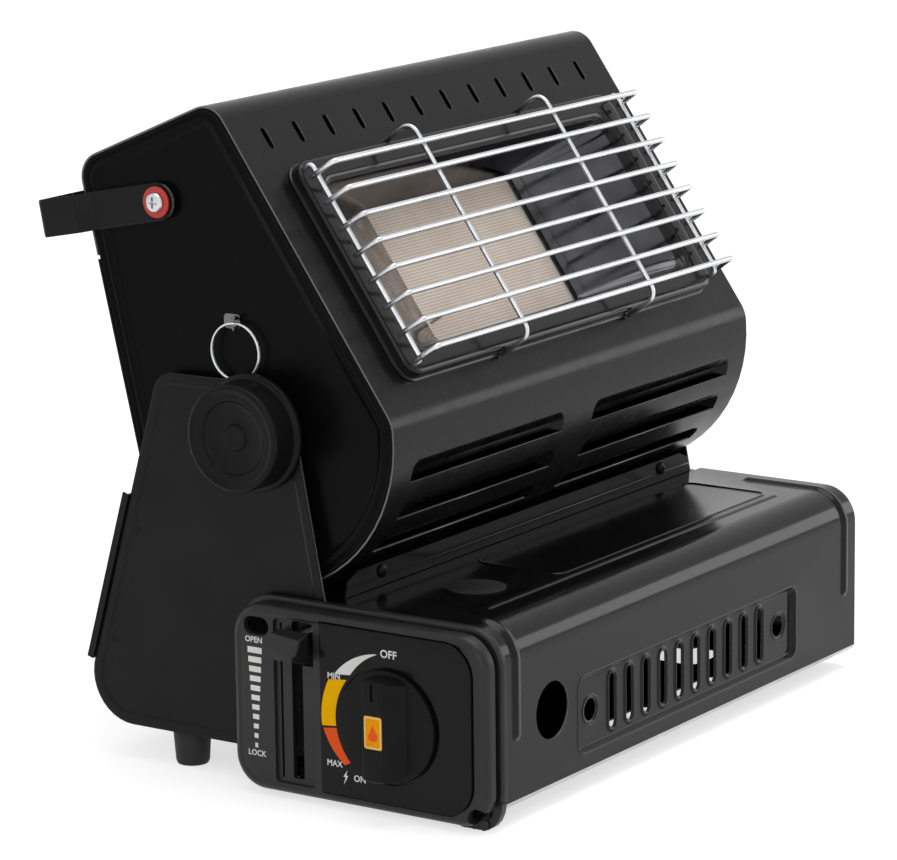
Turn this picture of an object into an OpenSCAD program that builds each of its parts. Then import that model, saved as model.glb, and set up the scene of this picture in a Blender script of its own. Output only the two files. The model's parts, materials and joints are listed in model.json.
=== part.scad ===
// Portable gas heater: a tilting radiant head on a stand, over a base that holds a gas cartridge.
// X runs along the heater, the radiant face looks towards -Y, Z is up, and the floor is z = 0.

/* [Base] */
// Length of the base cover, end to end
base_w = 284; // [270:1:300]
// Height of the base top above the floor
base_top = 80.5; // [80:0.5:81]
// Height of the cover's bottom edge above the floor
cover_bottom = 8; // [7:0.5:9]
// Front-to-back size of the cartridge cover's top
cover_depth = 79; // [77:1:80]
// Outer radius of the cover's front top edge
cover_r = 15; // [10:1:18]
// Front-to-back size of the base tray
tray_depth = 122; // [118:1:128]
// Height of the tray floor's underside
tray_bottom = 5.6; // [4.6:0.2:6.6]
// Thickness of the steel sheet
sheet = 0.8; // [0.6:0.1:1]

/* [Vents in the cover] */
// Number of upright vent slots
vent_count = 10; // [6:1:11]
// Pitch of the vent slots
vent_pitch = 13.2; // [12:0.1:13.4]
// Height of a vent slot
vent_h = 22.4; // [16:0.2:26]
// Width of a vent slot
vent_w = 4; // [3:0.5:6]
// Width of the recessed vent panel
vent_panel_w = 176; // [172:1:180]
// Height of the recessed vent panel
vent_panel_h = 32; // [30:1:38]
// Depth of the recessed vent panel
vent_panel_d = 2; // [1:0.5:3]
// Radius of the large round vent
big_vent_r = 11.8; // [8:0.2:13]
// Radius of the two small round vents
small_vent_r = 4.8; // [3:0.2:6]

/* [Head] */
// Gap between a head side and the stand's side plate
head_gap = 3; // [2.5:0.5:4]
// Distance of the pivot axis behind the cover's front face
pivot_y = 117; // [116:0.5:119]
// Height of the pivot axis
pivot_z = 146; // [146:0.5:149]
// Radius of the drum at the foot of the head
drum_r = 64.5; // [63:0.5:64.5]
// Lean of the radiant face behind upright, degrees
face_tilt = 34.8; // [30:0.2:38]
// Distance of the face plane from the pivot axis
face_dist = 57.8; // [57:0.2:58.4]
// Distance of the sloping top from the pivot axis
top_dist = 128.6; // [126:0.2:132]
// Fall of the sloping top towards the back, degrees
top_slope = 23; // [20:1:25]
// Lean of the head's back, degrees
back_lean = 13; // [11:1:14]
// Radius of the head's top edges
head_r = 11; // [10:0.5:13]
// Radius where the face meets the drum
chin_r = 14; // [12:0.5:16]
// Width of the raised rim round each head side
side_rim = 8; // [6:0.5:9]
// Depth of the pressed panel inside that rim
side_press = 1.5; // [1:0.1:2]

/* [Face slots and louvres] */
// Number of slots along the top of the face
face_slots = 12; // [8:1:13]
// Pitch of the face slots
face_slot_pitch = 21.1; // [18:0.1:21.4]
// Length of a face slot
face_slot_len = 10; // [6:0.5:12]
// Width of a face slot
face_slot_w = 3.6; // [3:0.2:5]
// Distance of the face slots' upper end above the pivot, along the face
face_slot_u = 103.8; // [100:0.2:106]
// Inner end of each louvre column
louvre_in = 11; // [8:1:14]
// Distance of a louvre's outer end from the head's end
louvre_margin = 14; // [11:1:24]

/* [Burner] */
// Distance of the reflector's flange from the head's end
flange_margin = 20; // [18:1:25]
// Height of the reflector's flange
flange_h = 98; // [94:0.5:104]
// Distance of the flange centre above the pivot, along the face
flange_u = 35; // [32:0.5:37]
// Height of the flange above the face
flange_rise = 6; // [4:0.5:7]
// Width of the flange
flange_w = 9; // [7:0.5:10]
// Depth of the dish below the face
dish_d = 20; // [17:0.5:22]
// Length of the ceramic plaque
plaque_w = 106; // [100:1:110]
// Height of the ceramic plaque
plaque_h = 59.5; // [56:0.5:62]
// Thickness of the ceramic plaque
plaque_t = 13; // [12:0.5:14]
// Thickness of the seal round the plaque
gasket_t = 2; // [1.5:0.5:3]
// Depth of the burner box
burner_d = 40; // [36:1:44]

/* [Guard] */
// Number of guard bars
guard_bars = 8; // [6:1:9]
// Pitch of the guard bars
guard_pitch = 12.1; // [10:0.1:12.5]
// Radius of a guard bar
bar_r = 1.3; // [1:0.1:1.5]
// Distance of the guard's outer wires inside the end of the reflector's flange
guard_margin = 3; // [2:1:6]
// Height of the guard bars above the face
guard_rise = 21; // [19:0.5:24]

/* [Handle] */
// Length of the handle's arms
handle_len = 57; // [54:1:62]
// Width of the handle strap
handle_w = 15.5; // [12:0.5:17]
// Thickness of the handle strap
handle_t = 1.5; // [1:0.1:2]
// Distance of the handle's pivot behind the head's pivot
handle_y = 47.7; // [46:0.5:50]
// Height of the handle's pivot above the head's pivot
handle_z = 88.4; // [86:0.2:90]
// Droop of the handle below level, degrees
handle_droop = 11; // [0:1:20]

/* [Stand] */
// Thickness of the stand's side plates
leg_t = 1.2; // [1:0.1:1.5]
// Height of the side plates' lower edge
leg_bottom = 15; // [13:1:17]
// Distance of the stand's lower rear corner behind the front face
leg_back = 203; // [196:1:208]
// Radius of the lobe round the pivot
leg_lobe_r = 20; // [18:0.5:22]
// Radius of a rubber foot's foot
foot_r = 7; // [6:0.5:8]
// Radius of the clamp knobs
clamp_r = 22; // [20:0.5:24]
// Radius of the clamp knobs' flange
clamp_flange_r = 24; // [23:0.5:26]
// Distance that a clamp knob stands out from the side plate
clamp_out = 16; // [14:0.5:20]
// Radius of the pivot bolts
bolt_r = 3; // [2.5:0.5:4]

/* [Controls] */
// Distance that the control housing stands out from the base
housing_out = 12; // [12:0.5:14]
// Front-to-back size of the control housing
housing_d = 122.5; // [121:0.5:126]
// Height of the control housing
housing_h = 77; // [76:0.5:78]
// Radius of the gas knob
knob_r = 23; // [20:0.5:24]
// Distance of the gas knob's axis behind the front face
knob_y = 44.7; // [43:0.2:47]
// Height of the gas knob's axis
knob_z = 38.6; // [37:0.2:41]
// Distance that the gas knob's grip stands out from the housing
knob_out = 12; // [10:0.5:18]
// Width of the gas knob's grip bar at its outer face
grip_w = 10; // [8:0.5:12]
// Travel of the lock lever
lever_travel = 42; // [36:1:43]
// Travel of the cartridge yoke
yoke_travel = 6.3; // [5:0.1:7]

/* [Cartridge] */
// Radius of the gas cartridge that the bay takes
cartridge_r = 34; // [33:0.5:34]
// Radius of the regulator's socket
socket_r = 16.5; // [15:0.5:17]
// Depth of the regulator's socket
socket_d = 7; // [5:0.5:8]

/* [Hidden] */

steel_black = "#17181a";
plastic_black = "#101112";
gap = 0.3;        // clearance between neighbouring pieces
run = 0.05;       // radial clearance of a running fit
over = 1;         // how far a cutting tool runs past a surface
rnd = 48;

half_w = base_w / 2;
pivot = [pivot_y, pivot_z];
wall_x = half_w - 2 * leg_t + sheet / 2;      // outer face of the tray's end walls
leg_in = wall_x;
leg_out = leg_in + leg_t;
hw = leg_in - head_gap;                       // half length of the head
housing_in = half_w + gap;                    // inner face of the control housing
housing_face = half_w + housing_out;
housing_wall = 2;
housing_y0 = -1;
housing_z0 = 2.3;
hinge = [3, cover_bottom + 1.4];
hinge_r = 2.4;
pin_r = 1.2;
housing_rim = 1.8;              // the housing's rim stands out all round by this much

knob_face = housing_face + knob_out;
clamp_face = leg_out + clamp_out;
h_pivot = [pivot_y + handle_y, pivot_z + handle_z];
handle_tip = h_pivot[0] + (handle_len + handle_t) * cos(handle_droop)
    + handle_w / 2 * sin(handle_droop);
mid_x = (clamp_face - knob_face) / 2;         // the origin is the bottom centre of the whole
mid_y = (handle_tip + housing_y0 - housing_rim) / 2;

n_ang = 180 - face_tilt;                      // direction of the face's outward normal
u_ang = 90 - face_tilt;                       // direction up along the face
m_ang = -back_lean;                           // direction of the back's outward normal
t_ang = 90 - top_slope;                       // direction of the top's outward normal

louvre_out = hw - louvre_margin;
flange_x = hw - flange_margin;                // half length of the flange
guard_x = flange_x - guard_margin;            // half length of a guard bar
flange_top = face_dist + flange_rise;
dish_x = flange_x - flange_w - 3;             // half length of the dish's mouth
dish_h = flange_h - 2 * flange_w - 3;
plaque_z = face_dist - dish_d - 2.5;          // front face of the plaque
box_wall = 1;
box_w = plaque_w + 2 * gasket_t + 2 * box_wall + 2 * gap;
box_h = plaque_h + 2 * gasket_t + 2 * box_wall + 2 * gap;
electrode_x = -box_w / 2 - 9.7;

// ---- Helpers ----
function dir(a) = [cos(a), sin(a)];
function arc(c, r, a0, a1, n) = [for (i = [0:n]) c + r * dir(a0 + (a1 - a0) * i / n)];
function arc_open(c, r, a0, a1, n) = [for (i = [0:n - 1]) c + r * dir(a0 + (a1 - a0) * i / n)];
// point at the distances d1 and d2 from the origin along the directions a1 and a2
function meet(a1, d1, a2, d2) = let (s = sin(a2 - a1))
    [(d1 * sin(a2) - d2 * sin(a1)) / s, (d2 * cos(a1) - d1 * cos(a2)) / s];

chin_a = face_dist - chin_r;
chin_b = sqrt(pow(drum_r - chin_r, 2) - pow(chin_a, 2));
chin_c = chin_a * dir(n_ang) - chin_b * dir(u_ang);
chin_ang = atan2(chin_c[1], chin_c[0]);
apex_c = meet(n_ang, face_dist - head_r, t_ang, top_dist - head_r);
rear_c = meet(m_ang, drum_r - head_r, t_ang, top_dist - head_r);

// side view of the head, all round, drawn i inside the real outline
function head_outline(i) = concat(
    arc_open(pivot, drum_r - i, chin_ang, 360 + m_ang, 34),
    arc(pivot + rear_c, head_r - i, m_ang, t_ang, 6),
    arc(pivot + apex_c, head_r - i, t_ang, n_ang, 6),
    arc_open(pivot + chin_c, chin_r - i, n_ang, chin_ang, 4));

module placed() translate([-mid_x, -mid_y, 0]) children();

// a side view (y, z) drawn in 2D and given the length x0 to x1
module span(x0, x1) translate([x0, 0, 0]) rotate([90, 0, 90]) linear_extrude(x1 - x0) children();

module both_sides() {
    children();
    mirror([1, 0, 0]) children();
}

module rod_x(x0, x1, r, y, z) translate([x0, y, z]) rotate([0, 90, 0])
    cylinder(h = x1 - x0, r = r, $fn = rnd);

module block(x0, x1, y0, y1, z0, z1) translate([x0, y0, z0]) cube([x1 - x0, y1 - y0, z1 - z0]);

module rounded(w, h, r) {
    square([w - 2 * r, h], center = true);
    square([w, h - 2 * r], center = true);
    for (x = [-1, 1], y = [-1, 1]) translate([x * (w / 2 - r), y * (h / 2 - r)]) circle(r, $fn = rnd);
}

module frame2d(w, h, r, t) difference() {
    rounded(w, h, r);
    rounded(w - 2 * t, h - 2 * t, r - t);
}

// local x along the heater, y up along the face, z out of the face, from the pivot axis
module face_frame() translate([0, pivot_y, pivot_z]) rotate([u_ang, 0, 0]) children();

module slab(z0, z1) translate([0, 0, z0]) linear_extrude(z1 - z0) children();

// countersunk-free pan screw along +X, its head's outer face at x
module pan_screw_x(x, y, z, head, len) {
    rod_x(x - head / 2, x, head, y, z);
    rod_x(x - head / 2 - len, x - head / 2, head / 2, y, z);
}

function cross3(a, b) = [a[1]*b[2]-a[2]*b[1], a[2]*b[0]-a[0]*b[2], a[0]*b[1]-a[1]*b[0]];
function unit3(v) = v / norm(v);
// Catmull-Rom point on a route
function route_at(p, i, t) = let (
    n = len(p) - 1, a = p[max(i - 1, 0)], b = p[i], c = p[min(i + 1, n)], d = p[min(i + 2, n)])
    0.5 * (2 * b + (c - a) * t + (2 * a - 5 * b + 4 * c - d) * t * t
        + (3 * b - a - 3 * c + d) * t * t * t);
function route(p, steps) = concat(
    [for (i = [0:len(p) - 2], k = [0:steps - 1]) route_at(p, i, k / steps)], [p[len(p) - 1]]);

// round tube along a route: rings of tube_sides points set square to the path
tube_sides = 8;
module tube(points, r, steps) {
    c = route(points, steps);
    n = len(c);
    tangents = [for (i = [0:n - 1]) unit3(c[min(i + 1, n - 1)] - c[max(i - 1, 0)])];
    rings = [for (i = [0:n - 1]) let (
        side = unit3(cross3(tangents[i], [0.31, 0.17, 0.93])), up = cross3(side, tangents[i]))
        for (k = [0:tube_sides - 1]) c[i] + r * (cos(360 * k / tube_sides) * side
            + sin(360 * k / tube_sides) * up)];
    walls = [for (i = [0:n - 2], k = [0:tube_sides - 1]) let (
        a = i * tube_sides + k, b = i * tube_sides + (k + 1) % tube_sides)
        [a, b, b + tube_sides, a + tube_sides]];
    ends = [[for (k = [tube_sides - 1:-1:0]) k],
        [for (k = [0:tube_sides - 1]) (n - 1) * tube_sides + k]];
    polyhedron(points = rings, faces = concat(walls, ends));
}

// ---- Base ----
bay_y0 = 6.4;                   // front lip of the tray, clear of the cover's swing
ear_r = 1.8;
lip_top = 7.8;
wall_top = base_top - sheet - 0.7;
window_y = [84.5, 99];          // opening in the end wall and the stand for the yoke
window_z = [13, 72];

module end_wall_outline() {
    difference() {
        union() {
            polygon(concat(
                [[sheet + 0.7, hinge[1]], [hinge[0] + 1.3, hinge[1] - 1.3],
                    [bay_y0 - 0.5, tray_bottom + sheet], [bay_y0, tray_bottom],
                    [tray_depth, tray_bottom], [tray_depth, wall_top]],
                arc([cover_r, base_top - cover_r], cover_r - sheet - 0.7, 90, 180, 8)));
            translate(hinge) circle(ear_r, $fn = rnd);
        }
        translate(hinge) circle(pin_r, $fn = rnd);
    }
}

module tray_end_wall(x0, x1) span(x0, x1) end_wall_outline();

module base_tray() color(steel_black) placed() difference() {
    union() {
        block(-wall_x, wall_x, bay_y0, tray_depth, tray_bottom, tray_bottom + sheet);
        block(-wall_x, wall_x, bay_y0, bay_y0 + sheet, tray_bottom, lip_top);
        block(-wall_x, wall_x, tray_depth - sheet, tray_depth, tray_bottom, wall_top);
        tray_end_wall(-wall_x, -wall_x + sheet);
        tray_end_wall(wall_x - sheet, wall_x);
    }
    // air openings in the floor of the cartridge bay
    for (x = [-55, 0, 55])
        translate([x, 26, 0]) slab(0, tray_bottom + 2 * sheet) rounded(40, 18, 6);
    translate([98, 61, 0]) slab(0, tray_bottom + 2 * sheet) rounded(28, 26, 6);
    // hose and lead pass through the rear wall
    translate([hose_x, tray_depth - over, hose_z]) rotate([-90, 0, 0])
        cylinder(h = 2 * over, r = hose_r + 2, $fn = rnd);
    translate([wire_x, tray_depth - over, wire_z]) rotate([-90, 0, 0])
        cylinder(h = 2 * over, r = 3.5, $fn = rnd);
    // valve body and yoke pass through the left end wall
    rod_x(-wall_x - over, -wall_x + sheet + over, valve_r + gap, knob_y, knob_z);
    block(-wall_x - over, -wall_x + sheet + over, window_y[0], window_y[1], window_z[0], window_z[1]);
    // pilot holes for the housing and stand screws
    for (p = housing_screw_at) rod_x(-wall_x - over, -wall_x + sheet + over, screw_r + run, p[0], p[1]);
    for (p = stand_screw_at) rod_x(-wall_x - over, wall_x + over, screw_r + run, p[0], p[1]);
}

// Fixed rear part of the base top, with its front edge turned up as a rail
rail_x = half_w - 8.5;
rail_h = 9.9;
deck_z = base_top - 1.3;
rail_y = cover_depth + 0.7;
deck_flange_x = 48 - wall_x;    // the turned-down flange stops here, clear of the yoke
deck_screw_x = rail_x - 25.7;
module rear_deck() color(steel_black) placed() difference() {
    union() {
        block(-wall_x + sheet + gap, wall_x - sheet - gap, rail_y, tray_depth - sheet - gap,
            deck_z, deck_z + sheet);
        translate([0, rail_y + sheet, 0]) rotate([90, 0, 0]) linear_extrude(sheet) polygon([
            [-rail_x, deck_z], [rail_x, deck_z], [rail_x - 2.3, base_top + rail_h - 3],
            [rail_x - 9, base_top + rail_h], [-rail_x + 9, base_top + rail_h],
            [-rail_x + 2.3, base_top + rail_h - 3]]);
        block(deck_flange_x, wall_x - sheet - gap, rail_y, rail_y + sheet, 62, deck_z + sheet / 2);
        both_sides() block(50, 95, tray_depth - 2 * sheet - gap, tray_depth - sheet - gap,
            deck_z - 9, deck_z + sheet / 2);
    }
    both_sides() translate([deck_screw_x, rail_y - over, base_top + 6.2]) rotate([-90, 0, 0])
        cylinder(h = 3 * over, r = screw_r + run, $fn = rnd);
}

module deck_screws() color("#2a2b2d") placed() both_sides()
    translate([deck_screw_x, rail_y - gap / 3, base_top + 6.2]) rotate([90, 0, 0]) {
        cylinder(h = 1.6, r = 2.9, $fn = rnd);
        translate([0, 0, -4]) cylinder(h = 4, r = screw_r, $fn = rnd);
    }

module hinge_pins() color("silver") placed() both_sides()
    rod_x(wall_x - 9, wall_x + 0.6, pin_r, hinge[0], hinge[1]);

// Cartridge cover: top and front in one bent sheet, hinged at its lower front edge
cover_x = half_w - 0.4;
function cover_side(i) = concat(
    [[cover_depth, base_top - i]], arc([cover_r, base_top - cover_r], cover_r - i, 90, 180, 10),
    [[i, cover_bottom]]);
vent_x = 1;                    // centre of the vent panel
vent_z = 32.4;
vent_panel_z = 32.2;
big_vent_margin = 36.4;          // from the end of the cover
big_vent_x = big_vent_margin - half_w;
big_vent_z = 40;
small_vent_in = 12.3;           // from the ends of the vent panel
small_vents = [vent_x - vent_panel_w / 2 + small_vent_in, vent_x + vent_panel_w / 2 - small_vent_in];
bead_r = 1.2;
bead_in = 8.5;                  // end beads, inboard of the cover's ends

module cover_slot(w, h) translate([0, vent_panel_d + 2 * over, 0]) rotate([90, 0, 0])
    linear_extrude(vent_panel_d + 4 * over) rounded(w, h, w / 2 - 0.01);

module cartridge_cover() color(steel_black) placed() difference() {
    union() {
        span(-cover_x, cover_x) polygon(concat(cover_side(0), [[sheet, cover_bottom]],
            [for (i = [len(cover_side(sheet)) - 1:-1:0]) cover_side(sheet)[i]]));
        // pan of the vent panel
        block(vent_x - vent_panel_w / 2 - sheet, vent_x + vent_panel_w / 2 + sheet, 0,
            vent_panel_d + sheet, vent_panel_z - vent_panel_h / 2 - sheet,
            vent_panel_z + vent_panel_h / 2 + sheet);
        // hinge knuckles
        both_sides() rod_x(wall_x - sheet - gap - 6, wall_x - sheet - gap, hinge_r, hinge[0], hinge[1]);
        // pressed beads
        both_sides() block(cover_x - bead_in - 3, cover_x - bead_in, cover_r - 2, 50,
            base_top - sheet, base_top + 0.5);
        both_sides() block(cover_x - bead_in - 3, cover_x - bead_in, -0.5, sheet,
            35, base_top - cover_r + 2);
        block(25 - half_w, half_w - 31, 21.5, 24.5, base_top - sheet, base_top + 0.5);
        translate([28, 48.5, 0]) slab(base_top - sheet, base_top + 0.4) frame2d(base_w - 114, 43, 6, 1.2);
        translate([-91, 45.5, 0]) slab(base_top - sheet, base_top + 0.4) difference() {
            circle(13.7, $fn = rnd);
            circle(12.7, $fn = rnd);
        }
    }
    // recess, slots and round vents
    translate([vent_x, vent_panel_d, vent_panel_z]) rotate([90, 0, 0])
        linear_extrude(vent_panel_d + over) rounded(vent_panel_w, vent_panel_h, 3);
    for (i = [0:vent_count - 1])
        translate([vent_x + (i - (vent_count - 1) / 2) * vent_pitch, 0, vent_z])
            cover_slot(vent_w, vent_h);
    for (x = small_vents) translate([x, 0, vent_z]) cover_slot(2 * small_vent_r, 2 * small_vent_r + 0.1);
    translate([big_vent_x, 2 * over, big_vent_z]) rotate([90, 0, 0])
        cylinder(h = 4 * over, r = big_vent_r, $fn = rnd);
    // bore of the hinge knuckles
    rod_x(-wall_x, wall_x, pin_r + run, hinge[0], hinge[1]);
}

// ---- Gas supply in the base ----
cart_y = 43;
supply_room = 23;               // between the end wall and the yoke
yoke_x = supply_room - wall_x;  // inner face of the yoke at rest
cart_z = tray_bottom + sheet + 2 + cartridge_r;
reg_x0 = -wall_x + sheet + 1;
reg_face = yoke_x - 2 - yoke_travel - 0.9;
reg_r = socket_r + 3;
valve_r = 9;
stem_r = 3;
module regulator() color("#9a9c9e") placed() difference() {
    union() {
        rod_x(reg_x0, reg_face, reg_r, cart_y, cart_z);
        // seat on the tray floor
        block(reg_x0, reg_face - 2, cart_y - 12, cart_y + 12, tray_bottom + sheet, cart_z);
        // outlet for the hose
        translate([hose_x, cart_y + reg_r - 3, cart_z + 14]) rotate([-90, 0, 0])
            cylinder(h = 9, r = 4, $fn = rnd);
        block(hose_x - 5, hose_x + 5, cart_y, cart_y + reg_r - 2, cart_z + 9, cart_z + 19);
    }
    rod_x(reg_face - socket_d, reg_face + over, socket_r, cart_y, cart_z);
    rod_x(reg_x0 + 4, reg_face, 2.2, cart_y, cart_z);
}

module socket_seal() color("#5b2f1c") placed() difference() {
    rod_x(reg_face - socket_d, reg_face - socket_d + 2, 5.5, cart_y, cart_z);
    rod_x(reg_face - socket_d - over, reg_face - socket_d + 3, 2.2, cart_y, cart_z);
}

module valve_body() color("#8a8c8f") placed() difference() {
    rod_x(-housing_face + housing_wall + 0.6, reg_x0 - gap / 2, valve_r, knob_y, knob_z);
    rod_x(-housing_face, reg_x0 - 4, stem_r + run, knob_y, knob_z);
}

// stem turns with the knob
module valve_stem() color("#c9a24a") placed()
    rod_x(-housing_face - 9, reg_x0 - 4.5, stem_r, knob_y, knob_z);

module piezo_igniter() color("#d8d4c8") placed() {
    rod_x(reg_x0, reg_x0 + 30, 6, 66, 66);
    rod_x(reg_x0 + 30, reg_x0 + 34, 2, 66, 66);
}

// rail under the yoke
module yoke_rail() color("#8a8c8f") placed() block(yoke_x - 9, yoke_x + 21, 61, 66, tray_bottom + sheet, 12.7);

// The lock lever's pin runs in the yoke's slanting slot and draws the yoke along
lever_y = 89.5;
pin_rest_z = 63;
pin_x = -housing_face + housing_wall + 4 + yoke_travel - 0.1;
cam_pin_r = 2;
cam_y = [94, 96.5];
yoke_hole_r = 15;
cam_z = [16, 68];

module lock_lever() color("#2b2c2e") placed() {
    // finger tab outside the housing
    difference() {
        block(-housing_face - 12, -housing_face - gap, lever_y - 7, lever_y + 9, 57, 70);
        translate([-housing_face - 12, lever_y - 8, 57]) rotate([0, 42, 0])
            translate([-20, 0, -12]) cube([20, 20, 30]);
    }
    // stem through the slot, and carrier inside the housing
    block(-housing_face - over, pin_x + 2, lever_y - 2.2, lever_y + 2.2, 59, 67);
    translate([pin_x, lever_y + 1, pin_rest_z]) rotate([-90, 0, 0])
        cylinder(h = cam_y[1] - lever_y - 0.5, r = cam_pin_r, $fn = rnd);
}

module cartridge_yoke() color("#a4a6a8") placed() difference() {
    union() {
        block(pin_x - 3.5, yoke_x, cam_y[0], cam_y[1], cam_z[0], cam_z[1]);
        block(yoke_x - 2, yoke_x, 22, cam_y[1], 14, cart_z + 12);
        block(yoke_x - 2, yoke_x + 14, 56, 71, 13, 15);
    }
    // slanting slot, straight from the lever's upper to its lower place
    hull() for (k = [0, 1])
        translate([pin_x + k * yoke_travel, cam_y[0] - over, pin_rest_z - k * lever_travel])
            rotate([-90, 0, 0]) cylinder(h = 4 * over + 1, r = cam_pin_r + 0.25, $fn = 24);
    rod_x(yoke_x - 3, yoke_x + 1, yoke_hole_r, cart_y, cart_z);
    block(yoke_x - 3, yoke_x + 1, cart_y - yoke_hole_r, cart_y + yoke_hole_r, cart_z, 90);
}

// ---- Control housing at the left end ----
plate_y = [5.8, 77.7];
plate_z = [6.5, 76];
plate_t = 1;
screw_r = 1.5;
housing_screw_at = [[8, 14], [8, 66], [113, 20], [113, 68]];
slot_z = [10, 69];
housing_c = [housing_y0 + housing_d / 2, housing_z0 + housing_h / 2];

module control_housing() color(plastic_black) placed() difference() {
    union() {
        span(-housing_face, -housing_in) translate(housing_c) rounded(housing_d, housing_h, 14);
        span(-housing_in - 3.2, -housing_in) translate(housing_c) rounded(housing_d + 2 * housing_rim,
            housing_h + 2 * housing_rim, 15);
        // pads under the front corner
        for (y = [6, 10.5, 15]) translate([-housing_in - 2.4, y, 0])
            cylinder(h = housing_z0, r = 2.4, $fn = rnd);
    }
    // hollow for the valve and the lever
    difference() {
        span(-housing_face + housing_wall, -housing_in + over) translate(housing_c)
            rounded(housing_d - 2 * housing_wall, housing_h - 2 * housing_wall, 14 - housing_wall);
        for (p = housing_screw_at) rod_x(-housing_face, -housing_in, 4, p[0], p[1]);
    }
    // slot for the lever, and seats of the knob's stem
    block(-housing_face - over, -housing_face + housing_wall + over, lever_y - 2.6, lever_y + 2.6,
        slot_z[0], slot_z[1]);
    rod_x(-housing_face - over, -housing_face + housing_wall + over, stem_r + 1, knob_y, knob_z);
    for (p = housing_screw_at)
        rod_x(-housing_face + housing_wall, -housing_in + over, screw_r + run, p[0], p[1]);
}

module control_plate() color("#1d1e20") placed() difference() {
    span(-housing_face - plate_t, -housing_face)
        translate([(plate_y[0] + plate_y[1]) / 2, (plate_z[0] + plate_z[1]) / 2])
            rounded(plate_y[1] - plate_y[0], plate_z[1] - plate_z[0], 9);
    rod_x(-housing_face - 2 * over, -housing_face + over, stem_r + 2, knob_y, knob_z);
}

module housing_screws() color("#6c6e70") placed() for (p = housing_screw_at) {
    rod_x(-wall_x + sheet, -wall_x + sheet + 1.6, 2.9, p[0], p[1]);
    rod_x(-housing_in - 6, -wall_x + sheet + over / 2, screw_r, p[0], p[1]);
}

grip_len = 41.5;
grip_base = 19.4;               // the grip's flanks flare to this width at the disc
badge = [9, 13.6];
knob_back = -housing_face - plate_t - gap;
module gas_knob() color(plastic_black) placed() difference() {
    union() {
        rod_x(knob_back - 1.8, knob_back, knob_r, knob_y, knob_z);
        intersection() {
            hull() {
                span(-knob_face, -knob_face + 1) translate([knob_y, knob_z])
                    rounded(grip_w, grip_len + 6, 1);
                span(knob_back - 2, knob_back) translate([knob_y, knob_z])
                    rounded(grip_base, grip_len + 6, 1);
            }
            rod_x(-knob_face, knob_back, grip_len / 2, knob_y, knob_z);
        }
    }
    rod_x(-housing_face - 9, -housing_face, stem_r, knob_y, knob_z);
    // seat of the badge, and the pointer groove
    block(-knob_face - over, -knob_face + 0.6, knob_y - badge[0] / 2, knob_y + badge[0] / 2,
        knob_z - badge[1] / 2, knob_z + badge[1] / 2);
    block(-knob_face - over, -knob_face + 0.8, knob_y - 0.8, knob_y + 0.8, knob_z + 13, knob_z + 19);
}

module knob_badge() color("#f07f1a") placed() block(-knob_face, -knob_face + 0.6,
    knob_y - badge[0] / 2, knob_y + badge[0] / 2, knob_z - badge[1] / 2, knob_z + badge[1] / 2);

// ---- Hose and ignition lead, from the base into the head ----
hose_r = 3.5;
hose_x = 8 - wall_x;
hose_z = 73;
wire_x = 22 - wall_x;
wire_z = 70;
hose_start_y = cart_y + reg_r + 6;
// x of these points is measured from the outer face of the left end wall
hose_points = [
    [8, 68.9, 56.4], [8, 76, 57.5], [8, 84, 64.5], [8, 93, 72.3], [8, 104, 73],
    [8, 122, 73], [10, 142, 69], [13, 161, 71], [16, 176, 84], [18, 178, 101],
    [19, 172, 115], [19, 152, 125], [18.5, 131, 135], [17.5, 116.5, 146],
    [17.5, 115.1, 157.6], [17.5, 122.1, 169.6]
];
hose_route = [for (p = hose_points) [p[0] - wall_x, p[1], p[2]]];
module gas_hose() color("#202224") placed() tube(hose_route, hose_r, 5);

wire_points = [
    [36.4, 66, 66], [42, 72, 67], [36, 92, 70], [22, 122, 70], [23, 142, 64],
    [27, 163, 68], [32, 176, 84], [36, 179, 103], [42, 169, 116], [46, 150, 126], [48, 130, 139]
];
wire_route = concat([for (p = wire_points) [p[0] - wall_x, p[1], p[2]]],
    [[electrode_x - 18, 119, 152], [electrode_x - 4, 114.5, 161.5], [electrode_x, 106.8, 167.7]]);
module ignition_wire() color("#b33a2c") placed() tube(wire_route, 1.2, 5);

// ---- Stand ----
stand_screw_at = [[104, 26], [104, 74]];
back_screw_z = [44, 92];
leg_back_r = 20;
leg_tip = [158, 155.5];
leg_tip_r = 10;

module leg_outline() hull() {
    translate(pivot) circle(leg_lobe_r, $fn = rnd);
    translate(leg_tip) circle(leg_tip_r, $fn = rnd);
    translate([leg_back - leg_back_r, leg_bottom + leg_back_r]) circle(leg_back_r, $fn = rnd);
    for (z = [leg_bottom + 3, base_top - 2]) translate([86, z]) circle(3, $fn = 24);
}

module leg_plate() difference() {
    span(leg_in, leg_out) leg_outline();
    rod_x(leg_in - over, leg_out + over, bolt_r + run, pivot_y, pivot_z);
    for (p = stand_screw_at) rod_x(leg_in - over, leg_out + over, screw_r + run, p[0], p[1]);
    for (p = housing_screw_at) rod_x(leg_in - over, leg_out + over, screw_r + run, p[0], p[1]);
    for (k = back_screw_k) rod_x(leg_in - over, leg_out - gap, screw_r + run,
        (back_foot - 7 * rear_n + k * rear_t)[0], (back_foot - 7 * rear_n + k * rear_t)[1]);
    children();
}

module leg_left() color(steel_black) placed() mirror([1, 0, 0]) leg_plate()
    block(leg_in - over, leg_out + over, window_y[0], window_y[1], window_z[0], window_z[1]);
module leg_right() color(steel_black) placed() leg_plate();

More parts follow.
